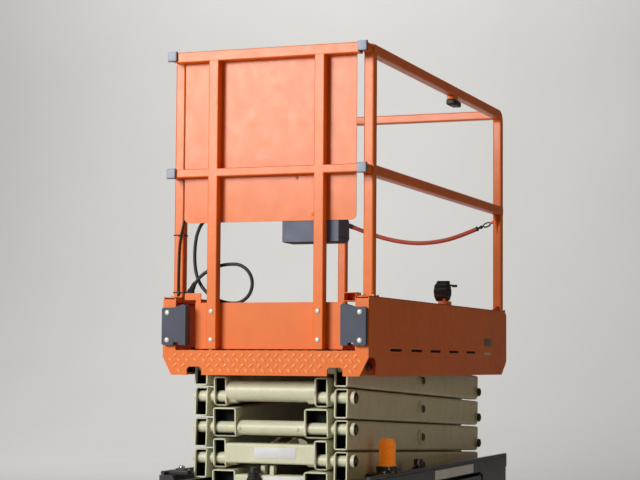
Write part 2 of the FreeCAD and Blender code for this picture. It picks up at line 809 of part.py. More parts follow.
def front_plate():
    # The end plate carries the tie-down eyes between the steered wheels
    eye = (FRONT_EYE_Y + EYE_HOLE_R + EYE_MARGIN, FRONT_EYE_Z - EYE_HOLE_R - EYE_MARGIN)
    low_y = SPINE_HALF_W + EYE_MARGIN
    half = [
        (0, SCOOP_Z),
        (ROLLER_Y[0], SCOOP_Z),
        (TROUGH_HALF_W, LEDGE_Z),
        (LEDGE_HALF_W, LEDGE_Z),
        (LEDGE_HALF_W, ARCH_Z + ARCH_CLEAR),
        (eye[0], ARCH_Z + ARCH_CLEAR),
        (eye[0], eye[1] + EYE_MARGIN),
        (eye[0] - EYE_MARGIN, eye[1]),
        (low_y, eye[1]),
        (low_y, SPINE_Z),
        (low_y - EYE_MARGIN, SPINE_Z - EYE_MARGIN),
        (0, SPINE_Z - EYE_MARGIN),
    ]
    x = (CHASSIS_FRONT - END_PLATE_T, CHASSIS_FRONT)
    return prism_x(both_sides(half), x).cut(eye_holes(x, FRONT_EYE_Y, FRONT_EYE_Z))


def rear_plate():
    # The end plate behind the fixed wheels, with the tie-down eyes at its lower edge
    eye_y = (REAR_EYE_Y - EYE_HOLE_R - EYE_MARGIN, REAR_EYE_Y + EYE_HOLE_R + EYE_MARGIN)
    low = REAR_EYE_Z - EYE_HOLE_R - EYE_MARGIN
    half = [
        (0, SCOOP_Z),
        (ROLLER_Y[0], SCOOP_Z),
        (TROUGH_HALF_W, LEDGE_Z),
        (LEDGE_HALF_W, LEDGE_Z),
        (LEDGE_HALF_W, ARCH_Z + ARCH_CLEAR),
        (BODY_HALF_W, ARCH_Z + ARCH_CLEAR),
        (BODY_HALF_W, BELLY_Z),
        (eye_y[1], BELLY_Z),
        (eye_y[1], low + EYE_MARGIN),
        (eye_y[1] - EYE_MARGIN, low),
        (eye_y[0] + EYE_MARGIN, low),
        (eye_y[0], low + EYE_MARGIN),
        (eye_y[0], BELLY_Z),
        (0, BELLY_Z),
    ]
    x = (CHASSIS_REAR, CHASSIS_REAR + END_PLATE_T)
    return prism_x(both_sides(half), x).cut(eye_holes(x, REAR_EYE_Y, REAR_EYE_Z))


def rear_ladder():
    x = (CHASSIS_REAR - LADDER_TUBE, CHASSIS_REAR)
    stile_y = (LADDER_HALF_W - LADDER_TUBE / 2, LADDER_HALF_W + LADDER_TUBE / 2)
    stile = rounded_box(x, stile_y, LADDER_Z, "z", STILE_CORNER)
    mid_x = (x[0] + x[1]) / 2
    rungs = [cross_bar((mid_x, z), LADDER_HALF_W, RUNG_R) for z in RUNGS]
    return fuse([stile, mirrored(stile)] + rungs)


def edge_guard():
    # A rounded bar along a ledge's outer edge, turned down over the rear plate
    y = (LEDGE_HALF_W - GUARD_W, LEDGE_HALF_W)
    x0 = CHASSIS_REAR - GUARD_W
    top = LEDGE_Z + GUARD_W
    along = rounded_box((x0, CHASSIS_FRONT - END_PLATE_T), y, (LEDGE_Z, top), "x", GUARD_CORNER)
    down = box((x0, CHASSIS_REAR), y, (LEDGE_Z - HEM_H, top - GUARD_CORNER))
    return fuse([along, down])


def ledge_fittings():
    # The edge bars, with the beacon's foot and the sounder on the left one
    foot = rod((*BEACON_AT, LEDGE_Z), (*BEACON_AT, LEDGE_Z + BEACON_BASE_H), BEACON_BASE_R)
    bar = edge_guard()
    return Part.makeCompound([fuse([bar, foot]), alarm(), mirrored(bar)])


def beacon_dome():
    # A domed lens with shallow grooves round it
    z = LEDGE_Z + BEACON_BASE_H
    lens = rod((*BEACON_AT, z), (*BEACON_AT, z + BEACON_H), BEACON_R)
    top_edges = [e for e in lens.Edges if e.BoundBox.ZMin > z + BEACON_H - EPS]
    lens = lens.makeFillet(BEACON_R * 0.6, top_edges)
    step = BEACON_H / (BEACON_RIBS + 2)
    for rib in range(1, BEACON_RIBS + 1):
        centre = V(*BEACON_AT, z + rib * step)
        lens = lens.cut(Part.makeTorus(BEACON_R + BEACON_GROOVE / 2, BEACON_GROOVE, centre))
    return lens


def alarm():
    # A round sounder on a small angle, on the left ledge
    foot = box((ALARM_X - ALARM_R, ALARM_X + ALARM_R), ALARM_Y, (LEDGE_Z, LEDGE_Z + ALARM_PLATE))
    back = box(
        (ALARM_X - ALARM_R, ALARM_X + ALARM_R), (ALARM_Y[0], ALARM_Y[0] + ALARM_PLATE),
        (LEDGE_Z, LEDGE_Z + 2 * ALARM_R),
    )
    disc = stub_y((ALARM_X, LEDGE_Z + ALARM_SUNK + ALARM_R), ALARM_Y, ALARM_R)
    return fuse([foot, back, disc])


def rear_axle():
    axle = (REAR_WHEEL_X, WHEEL_R)
    stub = stub_y(axle, (BODY_HALF_W, WHEEL_Y + AXLE_END), HUB_BORE_R)
    flange = stub_y(axle, (BODY_HALF_W, WHEEL_Y - WHEEL_W / 2 - AXLE_CLEAR), HUB_R + AXLE_FLANGE)
    return both(fuse([stub, flange]))


def knuckle(side):
    x = (FRONT_WHEEL_X - HUB_R, FRONT_WHEEL_X + HUB_R)
    top_z = ARCH_Z - KINGPIN_PLAY / 2
    kingpin = (FRONT_WHEEL_X, KINGPIN_Y)
    axle = (FRONT_WHEEL_X, WHEEL_R)
    pieces = [
        box(x, (KINGPIN_Y - KNUCKLE_REACH, KINGPIN_Y + KNUCKLE_REACH / 2), (top_z - KNUCKLE_T, top_z)),
        box(x, (KINGPIN_Y - KNUCKLE_T, KINGPIN_Y), (WHEEL_R - HUB_R, top_z - EPS)),
        rod((*kingpin, top_z - EPS), (*kingpin, DECK_Z - KINGPIN_TOP - KINGPIN_PLAY / 2), KINGPIN_R),
        stub_y(axle, (KINGPIN_Y - KNUCKLE_T / 2, WHEEL_Y + AXLE_END), HUB_BORE_R),
        stub_y(axle, (KINGPIN_Y - MOTOR_L, KINGPIN_Y - KNUCKLE_T / 2), HUB_R),
    ]
    return on_side(fuse(pieces), side)


def turned(outline, x):
    # A ring about a wheel's axle from (radius, y) points
    face = flat_face([V(x + radius, y, WHEEL_R) for radius, y in outline])
    return face.revolve(V(x, 0, WHEEL_R), Y_AXIS, 360)


def tyre(x, side):
    y = (WHEEL_Y - WHEEL_W / 2, WHEEL_Y + WHEEL_W / 2)
    outline = [
        (RIM_R, y[0]),
        (WHEEL_R, y[0] + SHOULDER),
        (WHEEL_R, y[1] - SHOULDER),
        (RIM_R, y[1]),
    ]
    return on_side(turned(outline, x), side)


def rim(x, side):
    # A dished disc round a hub that the axle fits
    y = (WHEEL_Y - WHEEL_W / 2 + RIM_INSET, WHEEL_Y + WHEEL_W / 2 - RIM_INSET)
    axle = (x, WHEEL_R)
    disc = stub_y(axle, y, RIM_R)
    dish = stub_y(axle, (WHEEL_Y + DISH_HALF, y[1] + EPS), RIM_R - RIM_LIP)
    back = stub_y(axle, (y[0] - EPS, WHEEL_Y - DISH_HALF), RIM_R - RIM_LIP)
    hub = stub_y(axle, (y[0] + RIM_INSET, y[1]), HUB_R)
    bore = stub_y(axle, (y[0] - EPS, WHEEL_Y + AXLE_END + AXLE_PLAY), HUB_BORE_R + AXLE_FIT)
    return on_side(fuse([disc.cut(dish).cut(back), hub]).cut(bore), side)


# Side trays
def tray_section(wall):
    # The cover steps round the trough's wall: low inside it, full height outside it
    step_y = TROUGH_HALF_W + TRAY_CLEAR
    step_z = DECK_Z - SHEET - TRAY_CLEAR
    inner_y = TRAY_Y[0] - (EPS if wall else 0)
    return [
        (inner_y, TRAY_Z[0] + wall),
        (TRAY_Y[1] - wall, TRAY_Z[0] + wall),
        (TRAY_Y[1] - wall, TRAY_Z[1] - wall),
        (step_y + wall, TRAY_Z[1] - wall),
        (step_y + wall, step_z - wall),
        (inner_y, step_z - wall),
    ]


def tray(side):
    shell = prism_x(tray_section(0), TRAY_X)
    hollow = prism_x(tray_section(TRAY_WALL), (TRAY_X[0] + TRAY_WALL, TRAY_X[1] - TRAY_WALL))
    pieces = [shell.cut(hollow)]
    for z in hinge_lug_spans():
        lug = hinge_rod(z, HINGE_LUG_R)
        web = box(
            (TRAY_HINGE[0], TRAY_X[0] + EPS),
            (TRAY_HINGE[1] - HINGE_LUG_R, TRAY_HINGE[1] + HINGE_LUG_R),
            z,
        )
        pieces.append(fuse([lug, web]).cut(hinge_rod((z[0] - EPS, z[1] + EPS), HINGE_PIN_R + PIN_FIT)))
    shape = fuse(pieces)
    for x in LOUVRE_X:
        for row in range(LOUVRE_ROWS):
            z = TRAY_Z[0] + LOUVRE_RISE + row * LOUVRE_PITCH
            shape = shape.cut(box(
                (x - LOUVRE[0] / 2, x + LOUVRE[0] / 2),
                (TRAY_Y[1] - TRAY_WALL - EPS, TRAY_Y[1] + EPS),
                (z, z + LOUVRE[1]),
            ))
    return on_side(shape, side)


def tray_load(side):
    shape = box(
        (TRAY_X[0] + LOAD_REAR, TRAY_X[1] - LOAD_FRONT),
        (TRAY_Y[0] + SHEET, TRAY_Y[1] - TRAY_WALL),
        (TRAY_Z[0] + TRAY_WALL, DECK_Z - SHEET - TRAY_CLEAR - 3 * TRAY_WALL),
    )
    return on_side(shape, side)


# Platform
def deck_frame():
    floor = box(
        (PLATFORM_REAR + SKIRT_T, PLATFORM_FRONT - LIP_T),
        (-PLATFORM_HALF_W + SKIRT_T, PLATFORM_HALF_W - SKIRT_T),
        (FLOOR_TOP - FLOOR_T, FLOOR_TOP),
    )
    under = FLOOR_TOP - FLOOR_T + EPS
    hem = box(
        (PLATFORM_REAR, PLATFORM_REAR + SKIRT_T),
        (-PLATFORM_HALF_W + SKIRT_T, PLATFORM_HALF_W - SKIRT_T),
        (FLOOR_TOP - REAR_HEM_H, FLOOR_TOP),
    )
    web = box(
        (PLATFORM_REAR + REAR_HEM_H, TRACK_X[1]),
        (TRACK_Y[1] - TRACK_WALL, TRACK_Y[1]),
        (TOP_PIN_Z - ROLLER_R, under),
    )
    y = (OUTER_Y[0] - BOSS_PROUD, OUTER_Y[0] - BOSS_PROUD + CLEVIS_T)
    slant = BRACKET_R * math.sqrt(0.5)
    bracket = prism_y(
        [
            (REAR_PIN_X - BRACKET_R * 1.5, under),
            (REAR_PIN_X - slant, TOP_PIN_Z - slant),
            (REAR_PIN_X, TOP_PIN_Z - BRACKET_R),
            (REAR_PIN_X + slant, TOP_PIN_Z - slant),
            (REAR_PIN_X + BRACKET_R * 1.5, under),
        ],
        y,
    )
    hole = stub_y((REAR_PIN_X, TOP_PIN_Z), (y[0] - EPS, y[1] + EPS), PIN_R + PIN_FIT)
    side = [roller_track(TOP_PIN_Z), web, bracket.cut(hole)]
    return fuse([floor, hem] + side + [mirrored(s) for s in side])


def skirt(side):
    # A plate with a closed lip along its top, cut away at its rear end
    outer = PLATFORM_HALF_W
    x = (PLATFORM_REAR, PLATFORM_FRONT - LIP_T)
    outline = [
        (x[0] + SKIRT_CORNER[0], SKIRT_BOTTOM),
        (x[1], SKIRT_BOTTOM),
        (x[1], SKIRT_TOP),
        (x[0] + SKIRT_SLANT[0], SKIRT_TOP),
        (x[0], SKIRT_TOP - SKIRT_SLANT[1]),
        (x[0], SKIRT_BOTTOM + SKIRT_CORNER[1]),
    ]
    plate = prism_y(outline, (outer - SKIRT_T, outer))
    lip = square_tube(
        (x[0] + SKIRT_SLANT[0], x[1]), (outer - LIP_W, outer), (SKIRT_TOP - LIP_H, SKIRT_TOP),
        "x", SKIRT_T, SKIRT_T + EPS,
    )
    shape = fuse([plate, lip])
    across = (outer - SKIRT_T - EPS, outer + EPS)
    for slot_x in SLOT_X:
        reach = SLOT_L / 2 - SLOT_H / 2
        shape = shape.cut(fuse([
            box((slot_x - reach, slot_x + reach), across, (SLOT_Z - SLOT_H / 2, SLOT_Z + SLOT_H / 2)),
            stub_y((slot_x - reach, SLOT_Z), across, SLOT_H / 2),
            stub_y((slot_x + reach, SLOT_Z), across, SLOT_H / 2),
        ]))
    return on_side(shape, side)


def front_lip():
    # One plate across the platform's front: low in the middle, a tall flange at each corner
    notch = (OUTER_Y[0] - NOTCH_MARGIN, OUTER_Y[1] + NOTCH_MARGIN)
    top = SKIRT_BOTTOM + NOTCH_H
    half = [
        (0, SKIRT_BOTTOM),
        (notch[0], SKIRT_BOTTOM),
        (notch[0], top - NOTCH_CORNER),
        (notch[0] + NOTCH_CORNER, top),
        (notch[1] - NOTCH_CORNER, top),
        (notch[1], top - NOTCH_CORNER),
        (notch[1], SKIRT_BOTTOM),
        (PLATFORM_HALF_W - FLANGE_CHAMFER[0], SKIRT_BOTTOM),
        (PLATFORM_HALF_W, SKIRT_BOTTOM + FLANGE_CHAMFER[1]),
        (PLATFORM_HALF_W, FLANGE_TOP),
        (PLATFORM_HALF_W - FLANGE_W, FLANGE_TOP),
        (PLATFORM_HALF_W - FLANGE_W, FLOOR_TOP),
        (0, FLOOR_TOP),
    ]
    return prism_x(both_sides(half), (PLATFORM_FRONT - LIP_T, PLATFORM_FRONT))


def corner_pads():
    # A flat outer part on the flange, and a deeper block beside it that rises a little higher
    split = PLATFORM_HALF_W - FLANGE_W
    out_y = PLATFORM_HALF_W - PAD_EDGE
    in_y = split - PAD_BLOCK_W
    outer = prism_x(
        [
            (split, PAD_Z[0]),
            (out_y - PAD_CORNER, PAD_Z[0]),
            (out_y, PAD_Z[0] + PAD_CORNER),
            (out_y, PAD_Z[1] - PAD_CORNER),
            (out_y - PAD_CORNER, PAD_Z[1]),
            (split, PAD_Z[1]),
        ],
        (PLATFORM_FRONT, FRONT_X),
    )
    block = prism_x(
        [
            (in_y, PAD_Z[0]),
            (split - PAD_NOTCH, PAD_Z[0]),
            (split - PAD_NOTCH, PAD_Z[0] + PAD_CORNER * 2),
            (split + EPS, PAD_Z[0] + PAD_CORNER * 2),
            (split + EPS, PAD_Z[1]),
            (in_y + PAD_CORNER * 2, PAD_Z[1] + PAD_RISE),
            (in_y, PAD_Z[1] + PAD_RISE - PAD_CORNER),
        ],
        (FRONT_X - PAD_DEPTH, FRONT_X),
    ).cut(box((FRONT_X - PAD_DEPTH - EPS, PLATFORM_FRONT), (split, split + 2), PAD_Z))
    return both(fuse([outer, block]))


def rail_run(x, z_top):
    return square_tube(x, RAIL_SIDES, (z_top - RAIL, z_top), "x", RAIL_WALL, RAIL_CORNER)


def rail_post(x0, z):
    return square_tube((x0, x0 + RAIL), RAIL_SIDES, z, "z", RAIL_WALL, RAIL_CORNER)


def side_rails(side):
    # Top and middle rail on two posts; the top rail bends down into the rear post
    corner = (POST_REAR_X + RAIL_BEND, RAIL_TOP - RAIL_BEND)
    top = rail_run((corner[0], POST_FRONT_X), RAIL_TOP)
    bend = end_face(top, "x", corner[0]).revolve(V(corner[0], 0, corner[1]), Y_AXIS, -90)
    joined = RAIL_WALL - EPS
    foot = SKIRT_TOP + FOOT_T - EPS
    pieces = [top, bend, rail_run((POST_REAR_X, POST_FRONT_X), MID_RAIL_TOP)]
    front_x = POST_FRONT_X - RAIL
    spans = [
        (POST_REAR_X, foot, MID_RAIL_TOP - RAIL + joined),
        (POST_REAR_X, MID_RAIL_TOP - joined, corner[1]),
        (front_x, foot, MID_RAIL_TOP - RAIL + joined),
        (front_x, MID_RAIL_TOP - joined, RAIL_TOP - RAIL + joined),
    ]
    for x0, low, high in spans:
        pieces.append(rail_post(x0, (low, high)))
    for x0 in (POST_REAR_X, front_x):
        pieces.append(box(
            (x0 - FOOT_OUT, x0 + RAIL + FOOT_OUT),
            (PLATFORM_HALF_W - LIP_W + EPS, PLATFORM_HALF_W - EPS),
            (SKIRT_TOP, SKIRT_TOP + FOOT_T),
        ))
    shape = fuse(pieces)
    hole_y = (RAIL_SIDES[1] - RAIL_WALL - EPS, RAIL_SIDES[1] + EPS)
    for z in POST_HOLE_Z:
        shape = shape.cut(stub_y((CHAIN_X, z), hole_y, POST_HOLE_R))
    ends = [chain_eye(side)] if side > 0 else [chain_eye(side), cable_gland()]
    return fuse([on_side(shape, side)] + ends)


def rear_rail():
    # A bar between the bends of the side rails
    x0 = POST_REAR_X + REAR_BAR_IN
    z1 = RAIL_TOP - EPS
    return square_tube(
        (x0, x0 + RAIL), (-RAIL_SIDES[0], RAIL_SIDES[0]), (z1 - RAIL, z1), "y", RAIL_WALL, RAIL_CORNER
    )


def chain_ends():
    # The right end of the sleeve, its left end, and the line of the run at each
    marks = [V(*p) for p in CHAIN_ROUTE]
    first_run = (marks[0] - marks[1]).normalize()
    last_run = (marks[-1] - marks[-2]).normalize()
    return marks[0], first_run, marks[-1], last_run


def chain_eye(side):
    # A stub out of the post, in line with the sleeve's end or with the hook
    right, right_run, left, left_run = chain_ends()
    start = left + left_run * HOOK_L if side > 0 else right
    run = left_run if side > 0 else right_run
    reach = (RAIL_SIDES[0] + RAIL_WALL - abs(start.y)) / abs(run.y)
    return Part.makeCylinder(CHAIN_EYE_R, reach, start, run)


def chain_hook():
    # A snap hook from the left end of the sleeve to the stub on the left post
    left, left_run = chain_ends()[2:]
    body = Part.makeCylinder(HOOK_R, HOOK_L, left, left_run)
    start = left + left_run * ((HOOK_L - HOOK_GRIP_L) / 2)
    return fuse([body, Part.makeCylinder(HOOK_GRIP_R, HOOK_GRIP_L, start, left_run)])


def cable_gland():
    # Where the thin cable goes into the right middle rail
    end = POST_CABLE_ROUTE[-1]
    return box(
        (end[0] - GLAND_BLOCK, end[0] + GLAND_BLOCK),
        (-RAIL_SIDES[0], end[1] + GLAND_BLOCK),
        (end[2], end[2] + 2 * GLAND_BLOCK),
    )


# Extension
def ext_deck():
    z0 = FLOOR_TOP + EXT_DECK_GAP
    toe_x = (EXT_BACK - TOE_T, EXT_BACK)
    deck = box((EXT_DECK_REAR, toe_x[1]), (-EXT_DECK_HALF_W, EXT_DECK_HALF_W), (z0, z0 + EXT_DECK_T))
    low = z0 + TOE_CORNER
    toe = prism_x(
        both_sides([
            (0, z0),
            (EXT_DECK_HALF_W - TOE_CORNER / 2, z0),
            (EXT_DECK_HALF_W, low),
            (EXT_DECK_HALF_W, TOE_TOP),
            (0, TOE_TOP),
        ]),
        toe_x,
    )
    hem = box(
        (toe_x[0] - TOE_T, toe_x[1]), (-EXT_DECK_HALF_W, EXT_DECK_HALF_W), (TOE_TOP - TOE_HEM, TOE_TOP)
    )
    runner = box((EXT_DECK_REAR, toe_x[0]), RUNNER_Y, (FLOOR_TOP + SEAT_GAP, z0 + EPS))
    return fuse([deck, toe, hem, runner, mirrored(runner), cord_bracket()])


def cord_bracket():
    # A plate beside the toe board, with a shelf for the cable's lower gland
    x = (EXT_BACK - TOE_T - BRACKET_T, EXT_BACK - TOE_T)
    out_y = -CABLE_END[1] + CORD_GLAND_R + BRACKET_T
    shelf_z = CABLE_SHELF_Z
    plate = prism_x(
        [
            (-EXT_DECK_HALF_W, shelf_z - BRACKET_DROP),
            (-EXT_DECK_HALF_W + BRACKET_DROP, shelf_z - BRACKET_DROP),
            (-EXT_DECK_HALF_W + BRACKET_DROP, shelf_z + BRACKET_RISE),
            (-out_y, shelf_z + BRACKET_RISE),
            (-out_y, shelf_z),
            (-EXT_DECK_HALF_W, shelf_z),
        ],
        x,
    )
    shelf = box(
        (CABLE_END[0] - CORD_GLAND_R - BRACKET_T, x[1]),
        (-out_y, CABLE_END[1] + CORD_GLAND_R + BRACKET_T),
        (shelf_z, shelf_z + BRACKET_T),
    )
    end = V(*CABLE_END)
    run = (end - V(*CABLE_ROUTE[-2])).normalize()
    gland = Part.makeCylinder(CORD_GLAND_R, (shelf_z + EPS - end.z) / run.z, end, run)
    return fuse([plate, shelf, gland])


def ext_frame():
    # Tubes that slide in the side rails, two bars across their front ends and two posts
    y = (RAIL_Y - EXT_TUBE / 2, RAIL_Y + EXT_TUBE / 2)
    pieces = []
    for z_top in (RAIL_TOP, MID_RAIL_TOP):
        z_mid = z_top - RAIL / 2
        z = (z_mid - EXT_TUBE / 2, z_mid + EXT_TUBE / 2)
        tube = square_tube((EXT_TUBE_REAR, EXT_FRONT), y, z, "x", EXT_WALL, EXT_WALL + EPS)
        pieces += [tube, mirrored(tube)]
    bars = (
        (EXT_RAIL, RAIL_TOP - EXT_RAIL_DROP),
        (EXT_MID_RAIL, MID_RAIL_TOP - EXT_RAIL_DROP),
    )
    joined = EXT_WALL - EPS
    for size, z_top in bars:
        pieces.append(square_tube(
            (EXT_FRONT - size, EXT_FRONT), (-y[0] - joined, y[0] + joined), (z_top - size, z_top),
            "y", EXT_WALL, EXT_WALL + EPS,
        ))
    post = square_tube(
        (EXT_BACK, EXT_FRONT),
        (EXT_POST_Y - EXT_RAIL / 2, EXT_POST_Y + EXT_RAIL / 2),
        (FLOOR_TOP + EXT_DECK_GAP, bars[0][1] - EXT_RAIL + joined),
        "z", EXT_WALL, EXT_WALL + EPS,
    )
    return fuse(pieces + [post, mirrored(post)])


def ext_panel():
    # A plate behind the posts, with rounded lower corners
    x = (EXT_BACK - PANEL_T, EXT_BACK)
    top = RAIL_TOP - EXT_RAIL_DROP - EXT_RAIL / 2
    plate = box(x, (-PANEL_HALF_W, PANEL_HALF_W), (PANEL_BOTTOM, top))
    low_edges = [
        e for e in plate.Edges
        if e.BoundBox.ZMax < PANEL_BOTTOM + EPS and e.BoundBox.XLength > EPS
    ]
    return plate.makeFillet(PANEL_CORNER, low_edges)


def end_caps():
    caps = []
    for z_top in (RAIL_TOP, MID_RAIL_TOP):
        z_mid = z_top - RAIL / 2
        cap = rounded_box(
            (EXT_FRONT, EXT_FRONT + CAP_T),
            (RAIL_Y - CAP / 2, RAIL_Y + CAP / 2),
            (z_mid - CAP / 2, z_mid + CAP / 2),
            "x", CAP_CORNER,
        )
        caps += [cap, mirrored(cap)]
    return Part.makeCompound(caps)


def control_box():
    # A box behind the panel, its top slanting down to the operator, with a gland at its side
    back = EXT_BACK - PANEL_T
    top = BOX_BOTTOM + BOX_H
    body = prism_y(
        [
            (back, BOX_BOTTOM),
            (back, top),
            (back - BOX_TOP_DEPTH, top),
            (back - BOX_DEPTH, BOX_BOTTOM + BOX_FRONT_H),
            (back - BOX_DEPTH, BOX_BOTTOM + BOX_CORNER),
            (back - BOX_DEPTH + BOX_CORNER, BOX_BOTTOM),
        ],
        BOX_Y,
    )
    start = CABLE_ROUTE[0]
    gland = rod((start[0], BOX_Y[0] + EPS, start[2]), start, CORD_GLAND_R)
    face = V(back - (BOX_TOP_DEPTH + BOX_DEPTH) / 2, 0, BOX_BOTTOM + (BOX_H + BOX_FRONT_H) / 2)
    normal = V(BOX_FRONT_H - BOX_H, 0, BOX_DEPTH - BOX_TOP_DEPTH).normalize()
    lever_at = face + V(0, BOX_Y[0] + (BOX_Y[1] - BOX_Y[0]) * 0.3, 0)
    button_at = face + V(0, BOX_Y[0] + (BOX_Y[1] - BOX_Y[0]) * 0.75, 0)
    lever = Part.makeCylinder(LEVER_R, LEVER_L + EPS, lever_at - normal * EPS, normal)
    button = Part.makeCylinder(BUTTON_R, BUTTON_H + EPS, button_at - normal * EPS, normal)
    return fuse([body, gland, lever, button])


nodes = {
    "chassis_frame": chassis_frame(),
    "ledges": ledges(),
    "end_plates": Part.makeCompound([front_plate(), fuse([rear_plate(), rear_ladder()])]),
    "ledge_fittings": ledge_fittings(),
    "beacon_dome": beacon_dome(),
    "rear_axle": rear_axle(),
    "left_knuckle": knuckle(1),
    "right_knuckle": knuckle(-1),
    "left_tray": tray(1),
    "right_tray": tray(-1),
    "left_tray_load": tray_load(1),
    "right_tray_load": tray_load(-1),
    "lift_barrel": lift_barrel(),
    "lift_rod": lift_rod(),
    "lower_rollers": roller_set((FRONT_PIN_X, BASE_PIN_Z)),
    "upper_rollers": roller_set((FRONT_PIN_X, TOP_PIN_Z)),
    "deck_frame": deck_frame(),
    "left_skirt": skirt(1),
    "right_skirt": skirt(-1),
    "front_lip": front_lip(),
    "corner_pads": corner_pads(),
    "left_rails": side_rails(1),
    "right_rails": side_rails(-1),
    "rear_rail": rear_rail(),
    "entry_chain": routed_tube(CHAIN_ROUTE, CHAIN_R, "entry_chain"),
    "chain_hook": chain_hook(),
    "post_cable": routed_tube(POST_CABLE_ROUTE, POST_CABLE_R, "post_cable"),
    "ext_deck": ext_deck(),
    "ext_frame": ext_frame(),
    "ext_panel": ext_panel(),
    "end_caps": end_caps(),
    "control_box": control_box(),
    "control_cable": routed_tube(CABLE_ROUTE, CABLE_R, "control_cable"),
}
for level in range(1, LEVELS + 1):
    nodes["outer_arms_%d" % level] = outer_arm_pair(level)
    nodes["inner_arms_%d" % level] = inner_arm_frame(level)
for end, x in (("front", FRONT_WHEEL_X), ("rear", REAR_WHEEL_X)):
    for name, side in (("left", 1), ("right", -1)):
        nodes["%s_%s_tyre" % (end, name)] = tyre(x, side)
        nodes["%s_%s_rim" % (end, name)] = rim(x, side)

os.makedirs("parts", exist_ok=True)
for name, shape in nodes.items():
    shape.exportStep("parts/%s.step" % name)
    bounds = shape.BoundBox
    print(name, "valid", shape.isValid(), "solids", len(shape.Solids),
          "x %.1f %.1f y %.1f %.1f z %.1f %.1f" % (
              bounds.XMin, bounds.XMax, bounds.YMin, bounds.YMax, bounds.ZMin, bounds.ZMax))
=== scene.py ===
import json
from math import atan, atan2, cos, pi, radians, sin, tau

import bmesh
import bpy
from mathutils import Matrix, Vector
from mathutils.geometry import tessellate_polygon


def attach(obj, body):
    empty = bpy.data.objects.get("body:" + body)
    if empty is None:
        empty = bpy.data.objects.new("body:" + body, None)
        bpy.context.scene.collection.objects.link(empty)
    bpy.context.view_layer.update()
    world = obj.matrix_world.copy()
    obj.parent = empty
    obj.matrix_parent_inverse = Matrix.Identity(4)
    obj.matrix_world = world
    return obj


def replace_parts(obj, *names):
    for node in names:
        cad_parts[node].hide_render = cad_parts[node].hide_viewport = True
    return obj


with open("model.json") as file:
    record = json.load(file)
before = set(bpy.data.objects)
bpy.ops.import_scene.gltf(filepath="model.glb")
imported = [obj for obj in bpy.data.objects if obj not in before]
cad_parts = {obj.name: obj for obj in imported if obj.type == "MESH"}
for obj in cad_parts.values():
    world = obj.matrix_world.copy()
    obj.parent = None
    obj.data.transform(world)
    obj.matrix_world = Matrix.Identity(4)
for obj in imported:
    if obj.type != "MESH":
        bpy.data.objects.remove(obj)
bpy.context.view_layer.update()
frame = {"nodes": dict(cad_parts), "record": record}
scene = bpy.context.scene

X = Vector((1, 0, 0))
Y = Vector((0, 1, 0))
Z = Vector((0, 0, 1))

# Camera at the photograph's angle
CAMERA_AT = Vector((6.658, 2.391, 0.959))
CAMERA_YAW = radians(20.81)
CAMERA_PITCH = radians(3.77)
CAMERA_ROLL = radians(0.41)
LENS_MM = 98.3
SENSOR_MM = 36.0
SHIFT_Y = 0.0114

# Planes and lines of the model that pieces sit on, in metres
FLOOR_TOP = 1.0
EXTENSION_TOP = 1.025
PLATFORM_FRONT = 0.925
PLATFORM_REAR = -0.945
SKIRT_FACE = 0.395
SKIRT_TOP = 1.192
FLANGE_CUT_TOP = 0.977
LIP_BOTTOM = 0.911
PAD_FACE = 0.945
PANEL_FACE = 0.8873
FRONT_PIN_X = 0.825
REAR_PIN_X = -0.795
MID_PIN_X = 0.015
BASE_PIN_Z = 0.501
LEVEL_RISE = 0.111
BOSS_END = 0.3
HEAD_END = 0.314
PIN_END = 0.308
LEDGE_TOP = 0.55
LEDGE_FACE = 0.4
RAIL_Y = 0.368
RAIL_HALF = 0.019
TOP_RAIL_Z = 2.09
MID_RAIL_Z = 1.66
POST_FRONT_X = 0.84
POST_REAR_X = -0.901
TUBE_FRONT_X = 0.861
CAP_BACK = 0.925
ARM_H = 0.105
ARM_WALL = 0.005
PIN_OFFSET = 0.02
BOSS_R = 0.0215
OUTER_Y = (0.245, 0.295)
NARROW_Y = (0.17, 0.22)
WIDE_Y = (0.132, 0.222)
WHEEL_R = 0.1615
RIM_R = 0.112
WHEEL_Y = (0.303, 0.401)
FRONT_WHEEL_X = 0.725
REAR_WHEEL_X = -0.725
SIDES = ((1, "left"), (-1, "right"))

# Ends of a box: the axis, and whether it is the high end
X_ENDS = ((0, False), (0, True))
Y_ENDS = ((1, False), (1, True))
Z_ENDS = ((2, False), (2, True))

# How far a fitting's foot reaches into what it sits on
SUNK = 0.0005


def add_camera():
    data = bpy.data.cameras.new("camera")
    data.sensor_fit = "HORIZONTAL"
    data.sensor_width = SENSOR_MM
    data.lens = LENS_MM
    data.shift_y = SHIFT_Y
    camera = bpy.data.objects.new("camera", data)
    camera.matrix_world = (
        Matrix.Translation(CAMERA_AT) @ Matrix.Rotation(CAMERA_YAW + pi / 2, 4, "Z")
        @ Matrix.Rotation(CAMERA_PITCH + pi / 2, 4, "X") @ Matrix.Rotation(CAMERA_ROLL, 4, "Z")
    )
    scene.collection.objects.link(camera)
    scene.camera = camera


def add_area_light(name, at, aim, size, power, colour):
    data = bpy.data.lights.new(name, "AREA")
    data.shape = "SQUARE"
    data.size = size
    data.energy = power
    data.color = colour
    light = bpy.data.objects.new(name, data)
    light.location = at
    light.rotation_euler = (Vector(aim) - Vector(at)).to_track_quat("-Z", "Y").to_euler()
    scene.collection.objects.link(light)


# Materials
SPECULAR = 0.35
COAT_ROUGH = 0.16
GRAIN_DEPTH = 0.0006


def add_node(tree, kind, values=None, links=None, **settings):
    node = tree.nodes.new(kind)
    for name, value in settings.items():
        setattr(node, name, value)
    for socket, value in (values or {}).items():
        node.inputs[socket].default_value = value
    for socket, source in (links or {}).items():
        tree.links.new(source, node.inputs[socket])
    return node


